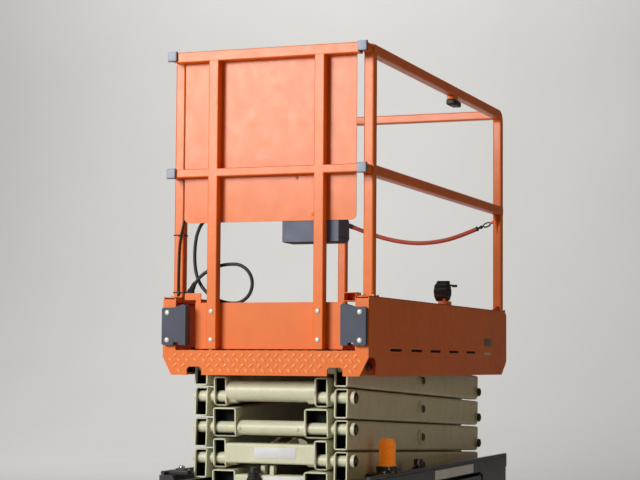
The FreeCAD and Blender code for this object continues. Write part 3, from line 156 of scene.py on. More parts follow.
def mix_colours(tree, amount, first, second):
    node = add_node(tree, "ShaderNodeMix", data_type="RGBA")
    for socket, source in ((node.inputs[6], first), (node.inputs[7], second)):
        if isinstance(source, tuple):
            socket.default_value = (*source, 1.0)
        else:
            tree.links.new(source, socket)
    tree.links.new(amount, node.inputs[0])
    return node.outputs[2]


def remap(tree, source, low, high, to_low, to_high):
    node = add_node(
        tree, "ShaderNodeMapRange",
        {"From Min": low, "From Max": high, "To Min": to_low, "To Max": to_high},
        {"Value": source},
    )
    return node.outputs["Result"]


def add_noise(tree, place, scale, detail, rough=0.5):
    settings = {"Scale": scale, "Detail": detail, "Roughness": rough}
    return add_node(tree, "ShaderNodeTexNoise", settings, {"Vector": place}).outputs["Fac"]


def shade(colour, factor):
    return tuple(min(channel * factor, 1.0) for channel in colour)


def make_material(
    name, colour, rough, metal=0.0, coat=0.0, mottle=0.05, cloud=4.0, grain=0.0, grain_scale=500.0,
    dirt=0.0, dirt_colour=(0.16, 0.13, 0.1), wear=0.0, wear_colour=(0.3, 0.28, 0.26), edge=0.0012,
    transmission=0.0, glow=0.0,
):
    material = bpy.data.materials.new(name)
    material.use_nodes = True
    tree = material.node_tree
    shader = tree.nodes["Principled BSDF"]
    place = add_node(tree, "ShaderNodeTexCoord").outputs["Object"]
    clouds = add_noise(tree, place, cloud, 6.0, 0.6)
    tone = mix_colours(
        tree, remap(tree, clouds, 0.3, 0.7, 0.0, 1.0),
        shade(colour, 1.0 - mottle), shade(colour, 1.0 + mottle),
    )
    smudges = add_noise(tree, place, cloud * 5.0, 9.0, 0.7)
    if dirt:
        tone = mix_colours(tree, remap(tree, smudges, 0.46, 0.78, 0.0, dirt), tone, dirt_colour)
    rounded = add_node(tree, "ShaderNodeBevel", {"Radius": edge}, samples=4).outputs["Normal"]
    if wear:
        true_normal = add_node(tree, "ShaderNodeNewGeometry").outputs["Normal"]
        turn = add_node(
            tree, "ShaderNodeVectorMath", links={0: true_normal, 1: rounded}, operation="DOT_PRODUCT"
        ).outputs["Value"]
        edges = remap(tree, turn, 0.995, 0.88, 0.0, wear)
        patches = remap(tree, smudges, 0.45, 0.62, 0.0, 1.0)
        chips = add_node(
            tree, "ShaderNodeMath", links={0: edges, 1: patches}, operation="MULTIPLY",
        ).outputs["Value"]
        tone = mix_colours(tree, chips, tone, wear_colour)
    tree.links.new(tone, shader.inputs["Base Color"])
    roughness = remap(tree, smudges, 0.3, 0.75, rough * 0.85, min(rough * 1.3, 1.0))
    tree.links.new(roughness, shader.inputs["Roughness"])
    for socket, value in (
        ("Metallic", metal), ("Specular IOR Level", SPECULAR), ("Coat Weight", coat),
        ("Coat Roughness", COAT_ROUGH), ("Transmission Weight", transmission),
        ("Emission Color", (*colour, 1.0)), ("Emission Strength", glow),
    ):
        shader.inputs[socket].default_value = value
    grains = add_noise(tree, place, grain_scale, 2.0)
    bump = add_node(
        tree, "ShaderNodeBump",
        {"Strength": grain, "Distance": GRAIN_DEPTH}, {"Height": grains, "Normal": rounded},
    ).outputs["Normal"]
    tree.links.new(bump, shader.inputs["Normal"])
    return material


# Look: colour, roughness, and what differs from make_material's own values
LOOKS = {
    "orange_paint": ((0.8, 0.165, 0.016), 0.36, dict(
        coat=0.16, grain=0.12, grain_scale=260.0, dirt=0.16, dirt_colour=(0.3, 0.12, 0.05), wear=0.5,
        wear_colour=(0.45, 0.2, 0.1),
    )),
    "cream_paint": ((0.66, 0.65, 0.47), 0.42, dict(
        coat=0.1, grain=0.14, grain_scale=240.0, mottle=0.07, dirt=0.28, dirt_colour=(0.3, 0.26, 0.15),
        wear=0.5, wear_colour=(0.34, 0.28, 0.18),
    )),
    "chassis_paint": ((0.028, 0.03, 0.036), 0.36, dict(
        coat=0.15, grain=0.14, grain_scale=260.0, mottle=0.12, dirt=0.3, dirt_colour=(0.12, 0.1, 0.085),
        wear=0.6, wear_colour=(0.2, 0.19, 0.18),
    )),
    "blue_grey": ((0.062, 0.072, 0.105), 0.55, dict(
        grain=0.35, grain_scale=700.0, mottle=0.08, dirt=0.25,
    )),
    "box_grey": ((0.105, 0.125, 0.185), 0.5, dict(grain=0.35, grain_scale=800.0, dirt=0.12)),
    "cap_grey": ((0.36, 0.41, 0.5), 0.5, dict(grain=0.2, grain_scale=600.0, dirt=0.2)),
    "white_rubber": ((0.46, 0.455, 0.43), 0.75, dict(
        grain=0.4, mottle=0.08, dirt=0.75, dirt_colour=(0.12, 0.11, 0.1),
    )),
    "rim_grey": ((0.5, 0.49, 0.46), 0.4, dict(grain=0.15, mottle=0.06, dirt=0.4, wear=0.5)),
    "steel": ((0.62, 0.61, 0.59), 0.22, dict(metal=1.0, grain=0.1, mottle=0.06, dirt=0.1, edge=0.0006)),
    "nylon": ((0.018, 0.018, 0.02), 0.42, dict(
        grain=0.25, grain_scale=900.0, mottle=0.15, dirt=0.2, edge=0.0006,
    )),
    "dark_steel": ((0.1, 0.1, 0.11), 0.28, dict(
        metal=0.9, grain=0.1, mottle=0.1, dirt=0.2, edge=0.0006,
    )),
    "amber_lens": ((1.0, 0.3, 0.008), 0.14, dict(coat=0.5, edge=0.0006, transmission=0.25, glow=0.14)),
    "sleeve_red": ((0.5, 0.075, 0.035), 0.5, dict(
        grain=0.5, grain_scale=420.0, mottle=0.12, dirt=0.25,
    )),
    "stop_red": ((0.6, 0.012, 0.012), 0.3, dict(coat=0.4, mottle=0.04)),
    "ring_yellow": ((0.8, 0.5, 0.02), 0.4, dict(mottle=0.04)),
    "white_plate": ((0.7, 0.71, 0.72), 0.45, dict(mottle=0.03, dirt=0.12)),
    "hazel_plate": ((0.16, 0.14, 0.11), 0.45, dict(dirt=0.2)),
    # Paler orange for the lip's studs: partly wear on their tops, partly a painted highlight
    "orange_stud": ((0.92, 0.27, 0.075), 0.28, dict(
        coat=0.3, mottle=0.08, dirt=0.15, dirt_colour=(0.3, 0.12, 0.05),
    )),
    "zinc": ((0.78, 0.77, 0.74), 0.3, dict(metal=0.35, dirt=0.1, edge=0.0006)),
    "tan_plate": ((0.62, 0.5, 0.32), 0.45, dict(dirt=0.15)),
    "brown_steel": ((0.11, 0.09, 0.06), 0.42, dict(
        metal=0.5, grain=0.15, mottle=0.15, dirt=0.3, edge=0.0006,
    )),
    # Flat black, which also paints shade behind the slots and inside the arms' open ends
    "black_plug": ((0.006, 0.006, 0.006), 0.8, dict(mottle=0.2)),
}
looks = {
    name: make_material(name, colour, rough, **rest)
    for name, (colour, rough, rest) in LOOKS.items()
}
for row in frame["record"]["subparts"]:
    look = "box_grey" if row["node"] == "control_box" else row["material_slot"]
    mesh = frame["nodes"][row["node"]].data
    mesh.materials.clear()
    mesh.materials.append(looks[look])


def placed(name, data, body):
    piece = bpy.data.objects.new(name, data)
    scene.collection.objects.link(piece)
    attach(piece, body)
    return piece


def add_piece(name, shape, look, body, crease=35.0):
    bmesh.ops.recalc_face_normals(shape, faces=shape.faces)
    mesh = bpy.data.meshes.new(name)
    shape.to_mesh(mesh)
    shape.free()
    mesh.shade_smooth()
    mesh.set_sharp_from_angle(angle=radians(crease))
    mesh.materials.append(looks[look])
    return placed(name, mesh, body)


def add_curve(name, points, radius, look, body):
    data = bpy.data.curves.new(name, "CURVE")
    data.dimensions = "3D"
    data.bevel_depth = radius
    data.bevel_resolution = 4
    data.resolution_u = 8
    data.use_fill_caps = True
    spline = data.splines.new("NURBS")
    spline.points.add(len(points) - 1)
    for point, at in zip(spline.points, points):
        point.co = (*at, 1.0)
    spline.order_u = 3
    spline.use_endpoint_u = True
    data.materials.append(looks[look])
    return placed(name, data, body)


def turned(shape, at, axis, profile, sides=28, wave=None):
    """Turns (radius, height) points about an axis. wave gives a factor for the radius at an angle."""
    at = Vector(at)
    axis = Vector(axis).normalized()
    across = axis.orthogonal().normalized()
    other = axis.cross(across)
    rings = []
    for radius, height in profile:
        centre = at + axis * height
        if radius == 0:
            rings.append([shape.verts.new(centre)])
            continue
        ring = []
        for k in range(sides):
            angle = tau * k / sides
            reach = radius * (wave(angle) if wave else 1.0)
            flat = across * cos(angle) + other * sin(angle)
            ring.append(shape.verts.new(centre + flat * reach))
        rings.append(ring)
    for first, second in zip(rings, rings[1:]):
        for k in range(sides):
            after = (k + 1) % sides
            face = list(dict.fromkeys((
                first[k % len(first)], first[after % len(first)],
                second[after % len(second)], second[k % len(second)],
            )))
            if len(face) > 2:
                shape.faces.new(face)
    for ring in (rings[0], rings[-1]):
        if len(ring) > 1 and rings[0] is not rings[-1]:
            shape.faces.new(ring)


def round_edges(shape, verts, corner, thick, steps=2):
    edges = list({edge for vert in verts for edge in vert.link_edges})
    return bmesh.ops.bevel(
        shape, geom=edges, offset=min(corner, thick * 0.45), segments=steps, profile=0.5,
        affect="EDGES", clamp_overlap=True,
    )["faces"]


def slab(shape, low, high, corner=0.001, steps=2, turn=None, about=None):
    """A box with rounded edges, turned about a point where a turn is given."""
    low = Vector(low)
    high = Vector(high)
    size = high - low
    made = bmesh.ops.create_cube(
        shape, size=1.0, matrix=Matrix.Translation((low + high) / 2) @ Matrix.Diagonal((*size, 1.0))
    )["verts"]
    faces = round_edges(shape, made, corner, min(size), steps)
    if turn is not None:
        verts = list({vert for face in faces for vert in face.verts})
        bmesh.ops.rotate(shape, verts=verts, cent=about, matrix=turn)


def walls(shape, low, high, ends, thick, corner, **rest):
    """Thin walls at some ends of a box."""
    for axis, at_high in ends:
        near = list(low)
        far = list(high)
        if at_high:
            near[axis] = high[axis] - thick
        else:
            far[axis] = low[axis] + thick
        slab(shape, near, far, corner, **rest)


def between(side, near, far):
    """The low and the high y of what lies between two distances from the middle, on one side."""
    return sorted((side * near, side * far))


def turned_piece(name, at, axis, profile, sides, look, body, crease=35.0):
    shape = bmesh.new()
    turned(shape, at, axis, profile, sides)
    return add_piece(name, shape, look, body, crease)


def slab_piece(name, low, high, corner, look, body, steps=2):
    shape = bmesh.new()
    slab(shape, low, high, corner, steps=steps)
    return add_piece(name, shape, look, body)


def plate(shape, outline, out, thick, corner):
    """A flat plate from an outline of points, thickened along a direction, its edges rounded."""
    out = Vector(out)
    verts = [shape.verts.new(point) for point in outline]
    face = shape.faces.new(verts)
    made = bmesh.ops.extrude_face_region(shape, geom=[face])["geom"]
    moved = [item for item in made if isinstance(item, bmesh.types.BMVert)]
    bmesh.ops.translate(shape, verts=moved, vec=out * thick)
    round_edges(shape, verts + moved, corner, thick)


def upright_plate(shape, loops, outer, inner):
    """An upright plate between two y, from loops of (x, z) for its outline and its holes."""
    flat = [[Vector((x, z, 0.0)) for x, z in loop] for loop in loops]
    corners = [point for loop in flat for point in loop]
    near = [shape.verts.new((p.x, outer, p.y)) for p in corners]
    far = [shape.verts.new((p.x, inner, p.y)) for p in corners]
    for triangle in tessellate_polygon(flat):
        shape.faces.new([near[k] for k in triangle])
        shape.faces.new([far[k] for k in reversed(triangle)])
    start = 0
    for loop in loops:
        count = len(loop)
        for k in range(count):
            here = start + k
            after = start + (k + 1) % count
            shape.faces.new((near[here], near[after], far[after], far[here]))
        start += count


def dome_profile(radius, height, skirt=0.25, steps=6):
    """A bolt head: a short straight side under a dome."""
    side = height * skirt
    profile = [(radius, 0.0), (radius, side)]
    for k in range(1, steps):
        angle = pi / 2 * k / steps
        profile.append((radius * cos(angle), side + (height - side) * sin(angle)))
    profile.append((0, height))
    return profile


def bolt(shape, at, out, radius, height, washer=0.0):
    """A hexagon head with a chamfered top, on a washer where one is given."""
    start = 0.0
    if washer:
        thick = height * 0.25
        rim = [(washer, 0.0), (washer, thick * 0.8), (washer * 0.96, thick)]
        turned(shape, at, out, rim, 24)
        start = thick
    turned(
        shape, at, out,
        [(radius, start), (radius, start + height * 0.85), (radius * 0.86, start + height)], 6,
    )


# Cords. Their points are those of the source's routes, in metres.
CABLE_ROUTE = [
    (0.856, 0.03, 1.489), (0.856, -0.024, 1.489), (0.855, -0.084, 1.484), (0.853, -0.146, 1.487),
    (0.85, -0.205, 1.493), (0.848, -0.25, 1.489), (0.846, -0.284, 1.463), (0.845, -0.303, 1.42),
    (0.845, -0.309, 1.372), (0.845, -0.309, 1.322), (0.845, -0.302, 1.276), (0.846, -0.282, 1.234),
    (0.848, -0.248, 1.201), (0.853, -0.205, 1.18), (0.859, -0.162, 1.17), (0.864, -0.117, 1.171),
    (0.866, -0.08, 1.198), (0.868, -0.066, 1.241), (0.869, -0.08, 1.284), (0.87, -0.117, 1.311),
    (0.871, -0.162, 1.312), (0.871, -0.207, 1.305), (0.87, -0.25, 1.286), (0.87, -0.291, 1.254),
    (0.87, -0.314, 1.208),
]
CHAIN_ROUTE = [
    (-0.901, -0.34, 1.59), (-0.901, -0.226, 1.544), (-0.901, -0.113, 1.513), (-0.901, -0.003, 1.5),
    (-0.901, 0.103, 1.508), (-0.901, 0.19, 1.53), (-0.901, 0.272, 1.562),
]


def add_control_cable():
    cable = add_curve("operator_cable", CABLE_ROUTE, 0.00625, "nylon", "extension")
    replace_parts(cable, "control_cable")
    # Strain reliefs at the box and at the bracket
    start = Vector(CABLE_ROUTE[0])
    end = Vector(CABLE_ROUTE[-1])
    down = (end - Vector(CABLE_ROUTE[-2])).normalized()
    shape = bmesh.new()
    turned(shape, start + Y * 0.024, -Y, [
        (0.0125, 0.0), (0.0135, 0.006), (0.0125, 0.012), (0.01, 0.016), (0.009, 0.036), (0.0072, 0.052),
        (0.0066, 0.053),
    ], 24)
    turned(shape, end + down * 0.002, -down, [
        (0.0135, 0.0), (0.0135, 0.012), (0.0105, 0.017), (0.009, 0.032), (0.007, 0.044),
        (0.0066, 0.045),
    ], 6)
    reliefs = add_piece("cable_reliefs", shape, "nylon", "extension")


def add_entry_chain():
    sleeve = add_curve("chain_sleeve", CHAIN_ROUTE, 0.0095, "sleeve_red", "platform")
    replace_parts(sleeve, "entry_chain")
    # A snap hook: swivel, body with its gate, and the eye that the post's stub holds
    start = Vector(CHAIN_ROUTE[-1])
    along = (start - Vector(CHAIN_ROUTE[-2])).normalized()
    side = along.cross(X).normalized()
    shape = bmesh.new()
    turned(shape, start - along * 0.004, along, [
        (0.0105, 0.0), (0.011, 0.003), (0.0105, 0.007), (0.006, 0.01), (0.0045, 0.016), (0.007, 0.019),
        (0.0085, 0.024), (0.007, 0.029), (0.0045, 0.031),
    ], 20)
    ring = [start + along * 0.028]
    middle = start + along * 0.048
    for k in range(1, 16):
        angle = pi + tau * k / 16
        ring.append(middle + along * cos(angle) * 0.0175 + side * sin(angle) * 0.008)
    ring.append(start + along * 0.029)
    hook = add_piece("snap_hook", shape, "nylon", "platform")
    loop = add_curve("snap_hook_loop", ring, 0.003, "nylon", "platform")
    gate = turned_piece("snap_hook_gate", start + along * 0.034 + side * 0.0085, along, [
        (0.003, 0.0), (0.0034, 0.004), (0.0034, 0.022), (0.003, 0.026),
    ], 14, "dark_steel", "platform")
    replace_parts(hook, "chain_hook")
    # The sleeve's sewn end at the right post
    head = Vector(CHAIN_ROUTE[0])
    down = (Vector(CHAIN_ROUTE[1]) - head).normalized()
    cuff = turned_piece("sleeve_cuff", head + down * 0.001, down, [
        (0.0102, 0.0), (0.0108, 0.003), (0.0108, 0.02), (0.01, 0.023),
    ], 24, "nylon", "platform")


# Platform
# Bolts seen from the front: name, face, (y, z) of each, radius, height, sides, look, body
BRIGHT_BOLTS = (
    ("pad_bolts", PAD_FACE, ((0.369, 1.135), (0.369, 1.036), (-0.369, 1.135), (-0.369, 1.036)),
     0.0098, 0.0062, 20, "zinc", "platform"),
    ("post_bolts", PLATFORM_FRONT, ((0.205, 1.14), (0.205, 1.038), (-0.205, 1.14), (-0.205, 1.038)),
     0.0088, 0.0058, 20, "zinc", "extension"),
    ("panel_rivets", PANEL_FACE, ((0.17, 1.485), (0.108, 1.615)),
     0.006, 0.0035, 16, "orange_paint", "extension"),
)


def add_bright_bolts():
    for name, face, places, radius, height, sides, look, body in BRIGHT_BOLTS:
        shape = bmesh.new()
        for y, z in places:
            turned(shape, (face - SUNK, y, z), X, dome_profile(radius, height), sides=sides)
        add_piece(name, shape, look, body)


STUD_SIDES = 10
STUD_STEP = 0.0165
STUD_ROW = 0.0185
LIP_STUD = (0.024, 0.0105, 0.0026)
FLOOR_STUD = (0.024, 0.009, 0.0018)


def stud(shape, centre, along, across, out, length, width, height):
    rings = []
    for share, rise in ((1.0, 0.0), (0.82, 0.62), (0.45, 1.0)):
        ring = []
        for k in range(STUD_SIDES):
            angle = tau * k / STUD_SIDES
            flat = along * (cos(angle) * length / 2) + across * (sin(angle) * width / 2)
            ring.append(shape.verts.new(centre + flat * share + out * height * rise))
        rings.append(ring)
    for low, high in zip(rings, rings[1:]):
        for k in range(STUD_SIDES):
            after = (k + 1) % STUD_SIDES
            shape.faces.new((low[k], low[after], high[after], high[k]))
    shape.faces.new(rings[-1])


def tread(shape, origin, first, second, out, low, high, size, allowed):
    """Raised studs on the plane through a point, slanted by turns, wherever allowed(u, v) holds."""
    rows = int((high[1] - low[1]) / STUD_ROW) + 1
    columns = int((high[0] - low[0]) / STUD_STEP) + 1
    for row in range(rows):
        slant = radians(45.0 if row % 2 else -45.0)
        along = first * cos(slant) + second * sin(slant)
        across = out.cross(along)
        for column in range(row % 2, columns, 2):
            u = low[0] + column * STUD_STEP
            v = low[1] + row * STUD_ROW
            if allowed(u, v):
                stud(shape, origin + first * u + second * v, along, across, out, *size)


def on_lip(y, z):
    # Clear of the plate's edges, its slanted corners and its two notches
    if z > FLOOR_TOP - 0.012 or z < LIP_BOTTOM + 0.01:
        return False
    if abs(y) > 0.372 - max(0.0, FLANGE_CUT_TOP - z) * 0.5:
        return False
    return not (0.229 < abs(y) < 0.311 and z < 0.953)


def on_extension(x, y):
    return abs(y) < 0.272 and x < 0.866


def on_floor(x, y):
    # Clear of the skirts, the extension's two runners and the posts' feet
    if abs(y) > 0.376 or (0.186 < abs(y) < 0.244 and x > -0.1):
        return False
    return not (abs(y) > 0.334 and (x < -0.87 or x > 0.8))


def add_treads():
    shape = bmesh.new()
    tread(
        shape, X * PLATFORM_FRONT, Y, Z, X, (-0.363, LIP_BOTTOM + 0.0155), (0.38, FLOOR_TOP),
        LIP_STUD, on_lip,
    )
    # The lip's studs take the paler orange, a painted highlight as well as wear
    add_piece("lip_tread", shape, "orange_stud", "platform", crease=60.0)
    for name, top, low, high, allowed, body in (
        ("extension_tread", EXTENSION_TOP, (-0.064, -0.268), (0.865, 0.275), on_extension, "extension"),
        ("floor_tread", FLOOR_TOP, (-0.925, -0.37), (0.905, 0.375), on_floor, "platform"),
    ):
        shape = bmesh.new()
        tread(shape, Z * top, X, Y, Z, low, high, FLOOR_STUD, allowed)
        add_piece(name, shape, "orange_paint", body, crease=60.0)


KNURLS = 9
KNURL_DEPTH = 0.055
LOCK_X = -0.086
SLIDE_PAD_X = -0.2


def knurl(angle):
    return 1.0 + KNURL_DEPTH * cos(angle * KNURLS)


def add_deck_lock():
    # A knurled housing on a bracket at the left skirt's top, with its lever to the rear
    x = LOCK_X
    shape = bmesh.new()
    slab(shape, (x - 0.03, 0.352, SKIRT_TOP), (x + 0.048, 0.386, SKIRT_TOP + 0.016), 0.002)
    slab(shape, (x - 0.022, 0.362, SKIRT_TOP + 0.01), (x + 0.022, 0.376, SKIRT_TOP + 0.05), 0.002)
    add_piece("deck_lock_bracket", shape, "orange_paint", "platform")
    shape = bmesh.new()
    turned(shape, (x, 0.327, 1.246), Y, [
        (0.01, 0.0), (0.028, 0.001), (0.036, 0.005), (0.038, 0.012), (0.038, 0.047), (0.035, 0.055),
        (0.024, 0.06), (0.012, 0.061), (0.01, 0.063), (0.004, 0.064),
    ], 72, wave=knurl)
    slab(shape, (x - 0.01, 0.335, 1.274), (x + 0.012, 0.386, 1.29), 0.004)
    slab(shape, (x - 0.14, 0.358, 1.272), (x - 0.012, 0.378, 1.2785), 0.0025)
    grip = [(0.011, -0.005), (0.011, 0.003), (0.009, 0.005)]
    turned(shape, (x - 0.133, 0.368, 1.275), -Z, grip, 20)
    add_piece("deck_lock", shape, "nylon", "platform")


def add_slide_pad():
    # A pad on a small bracket under the left top rail
    x = SLIDE_PAD_X
    low = TOP_RAIL_Z - 2 * RAIL_HALF
    shape = bmesh.new()
    y = RAIL_Y - 0.014
    slab(shape, (x - 0.02, y, low - 0.016), (x + 0.052, RAIL_Y + 0.014, low + 0.001), 0.002)
    bolt(shape, (x - 0.004, y, low - 0.009), -Y, 0.006, 0.004, washer=0.009)
    add_piece("slide_pad_bracket", shape, "orange_paint", "platform")
    slab_piece(
        "slide_pad", (x - 0.048, RAIL_Y - 0.019, low - 0.038), (x + 0.048, RAIL_Y + 0.019, low - 0.015),
        0.006, "nylon", "platform", steps=3,
    )


GUSSET_REACH = (0.092, 0.082)
GUSSET_STEPS = 10


def add_gussets():
    # Curved webs between the middle rail and the rear posts
    low = MID_RAIL_Z - 2 * RAIL_HALF
    face = POST_REAR_X + RAIL_HALF
    along, down = GUSSET_REACH
    shape = bmesh.new()
    for side in (1, -1):
        y = side * (RAIL_Y + 0.003)
        outline = [(face - 0.001, y, low + 0.001), (face - 0.001, y, low - down)]
        for k in range(GUSSET_STEPS + 1):
            angle = pi / 2 * k / GUSSET_STEPS
            x = face + along - along * cos(angle) * 0.985 + 0.001
            z = low - down + down * sin(angle)
            outline.append((x, y, z + 0.001))
        plate(shape, outline, (0, -side, 0), 0.006, 0.001)
    add_piece("rail_gussets", shape, "orange_paint", "platform")


SLOTS_X = [0.619, 0.372, 0.13, -0.12, -0.371]
SLOT_Z = 1.005
SLOT_HALF = (0.068, 0.0048)
SKIRT_T = 0.004
SKIRT_FRONT = 0.92
REAR_CUT = (0.08, 0.058)
TOP_CUT = (0.025, 0.02)
FRONT_CUT = 0.082
CUT_ROUND = 0.028
LIP_IN = 0.347
LIP_LOW = 1.168


def arc(centre, radius, start, stop, steps):
    points = []
    for k in range(steps + 1):
        angle = start + (stop - start) * k / steps
        points.append((centre[0] + radius * cos(angle), centre[1] + radius * sin(angle)))
    return points


def add_skirts():
    # A plate with long slots under a closed lip, cut away below at both its ends
    cut_x = SKIRT_FRONT - FRONT_CUT
    rear = PLATFORM_REAR + TOP_CUT[0]
    outline = [
        (PLATFORM_REAR + REAR_CUT[0], LIP_BOTTOM), (cut_x, LIP_BOTTOM),
        *arc((cut_x + CUT_ROUND, FLANGE_CUT_TOP - CUT_ROUND), CUT_ROUND, pi, pi / 2, 8),
        (SKIRT_FRONT, FLANGE_CUT_TOP), (SKIRT_FRONT, SKIRT_TOP), (rear, SKIRT_TOP),
        (PLATFORM_REAR, SKIRT_TOP - TOP_CUT[1]), (PLATFORM_REAR, LIP_BOTTOM + REAR_CUT[1]),
    ]
    loops = [outline]
    reach = SLOT_HALF[0] - SLOT_HALF[1]
    for x in SLOTS_X:
        front = arc((x + reach, SLOT_Z), SLOT_HALF[1], -pi / 2, pi / 2, 8)
        back = arc((x - reach, SLOT_Z), SLOT_HALF[1], pi / 2, pi * 1.5, 8)
        loops.append(front + back)
    for side, name in SIDES:
        shape = bmesh.new()
        upright_plate(shape, loops, side * SKIRT_FACE, side * (SKIRT_FACE - SKIRT_T))
        for near, far, low, high in (
            (LIP_IN, SKIRT_FACE, SKIRT_TOP - SKIRT_T, SKIRT_TOP),
            (LIP_IN, LIP_IN + SKIRT_T, LIP_LOW, SKIRT_TOP),
            (LIP_IN, SKIRT_FACE - SKIRT_T, LIP_LOW, LIP_LOW + SKIRT_T),
        ):
            ends = between(side, near, far)
            slab(shape, (rear, ends[0], low), (SKIRT_FRONT, ends[1], high), 0.0008)
        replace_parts(add_piece(name + "_side_plate", shape, "orange_paint", "platform"), name + "_skirt")


# Flat pieces on the side plates: name, how far they stand out, low and high (x, z), corner,
# steps, look. The ridge runs just under the slots.
ON_SKIRTS = (
    ("_skirt_plate", 0.0022, (-0.689, 1.033), (-0.58, 1.066), 0.0015, 2, "hazel_plate"),
    ("_skirt_small_plate", 0.0022, (-0.672, 0.9945), (-0.572, 1.0065), 0.0015, 2, "tan_plate"),
    ("_skirt_ridge", 0.001, (-0.6, 0.988), (0.83, 0.9905), 0.0009, 3, "orange_paint"),
)


def add_skirt_fittings():
    for side, name in SIDES:
        for part, proud, low, high, corner, steps, look in ON_SKIRTS:
            near, far = between(side, SKIRT_FACE - 0.001, SKIRT_FACE + proud)
            slab_piece(
                name + part, (low[0], near, low[1]), (high[0], far, high[1]), corner, look,
                "platform", steps,
            )
        # A bolt in the roller track, seen past the plate's front corner
        turned_piece(name + "_track_bolt", (0.814, side * 0.3495, 0.947), (0, side, 0), [
            (0.016, 0.0), (0.016, 0.003), (0.0138, 0.0036), (0.0138, 0.015), (0.0115, 0.0176),
            (0, 0.018),
        ], 28, "brown_steel", "platform")
        # Black strips behind the slots: painted shade, seen through them
        near, far = between(side, SKIRT_FACE - 0.0052, SKIRT_FACE - SKIRT_T)
        shape = bmesh.new()
        for x in SLOTS_X:
            slab(shape, (x - 0.072, near, SLOT_Z - 0.0065), (x + 0.072, far, SLOT_Z + 0.0065), 0.0004)
        add_piece(name + "_slot_shade_backs", shape, "black_plug", "platform")


def add_front_bracket():
    # A short open channel inside the left skirt's top, at the front
    shape = bmesh.new()
    low = (0.872, 0.301, 1.1725)
    high = (0.9245, 0.3485, 1.2045)
    walls(shape, low, high, Z_ENDS + Y_ENDS + X_ENDS[:1], 0.003, 0.001)
    add_piece("left_channel", shape, "orange_paint", "platform")


TIE_Z = (1.211, 1.421)
FOOT_BOLT_DX = 0.0246
CAP_HALF = 0.0175
CAP_T = 0.0118
GASKET_HALF = 0.0188


def add_rail_fittings():
    # Bolts of the posts' feet
    shape = bmesh.new()
    for side in (1, -1):
        for x in (POST_FRONT_X, POST_REAR_X):
            for dx in (-FOOT_BOLT_DX, FOOT_BOLT_DX):
                at = (x + dx, side * 0.3905, SKIRT_TOP + 0.0039)
                turned(shape, at, Z, dome_profile(0.0042, 0.003), 12)
    add_piece("foot_bolts", shape, "steel", "platform")
    # Low webs on the skirts' tops in front of the rear posts
    shape = bmesh.new()
    near = POST_REAR_X + RAIL_HALF
    far = POST_REAR_X + 0.1
    for side in (1, -1):
        y = side * RAIL_Y
        outline = [
            (near, y, SKIRT_TOP - 0.001), (far, y, SKIRT_TOP - 0.001), (far, y, SKIRT_TOP + 0.006),
            (near, y, SKIRT_TOP + 0.024),
        ]
        plate(shape, outline, (0, side, 0), 0.005, 0.001)
    add_piece("foot_webs", shape, "orange_paint", "platform")
    # Ties round the right front post, which hold the thin cable
    shape = bmesh.new()
    out = RAIL_HALF + 0.0012
    for z in TIE_Z:
        low = (POST_FRONT_X - out, -RAIL_Y - out, z - 0.0024)
        high = (POST_FRONT_X + out, -RAIL_Y + out, z + 0.0024)
        walls(shape, low, high, X_ENDS + Y_ENDS, 0.0016, 0.0006)
        slab(shape, (0.857, -0.372, z - 0.0024), (0.8685, -0.3585, z + 0.0024), 0.0006)
        slab(shape, (0.86, -0.349, z - 0.003), (0.8665, -0.3425, z + 0.003), 0.001)
    add_piece("cable_ties", shape, "nylon", "platform")
    # Caps on the ends of the extension's rails, each on a dark gasket
    caps = bmesh.new()
    gaskets = bmesh.new()
    for side in (1, -1):
        for top in (TOP_RAIL_Z, MID_RAIL_Z):
            centre = Vector((CAP_BACK, side * RAIL_Y, top - RAIL_HALF))
            for part, half, back, front, corner, steps in (
                (gaskets, GASKET_HALF, -0.0006, 0.0028, 0.0012, 2),
                (caps, CAP_HALF, 0.0, CAP_T, 0.004, 4),
            ):
                low = centre + Vector((back, -half, -half))
                slab(part, low, centre + Vector((front, half, half)), corner, steps=steps)
    add_piece("cap_gaskets", gaskets, "nylon", "extension")
    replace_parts(add_piece("rail_caps", caps, "cap_grey", "extension"), "end_caps")


# Operator's box
BOX_FACE = Vector((0.811, 0.0, 1.491))
BOX_NORMAL = Vector((-0.5967, 0.0, 0.8025))
BOX_SLOPE = Vector((0.8025, 0.0, 0.5967))
JOYSTICK_Y = 0.1162
STOP_Y = 0.2125


def on_box(y, up, lift=0.0):
    return BOX_FACE + Y * y + BOX_SLOPE * up + BOX_NORMAL * lift


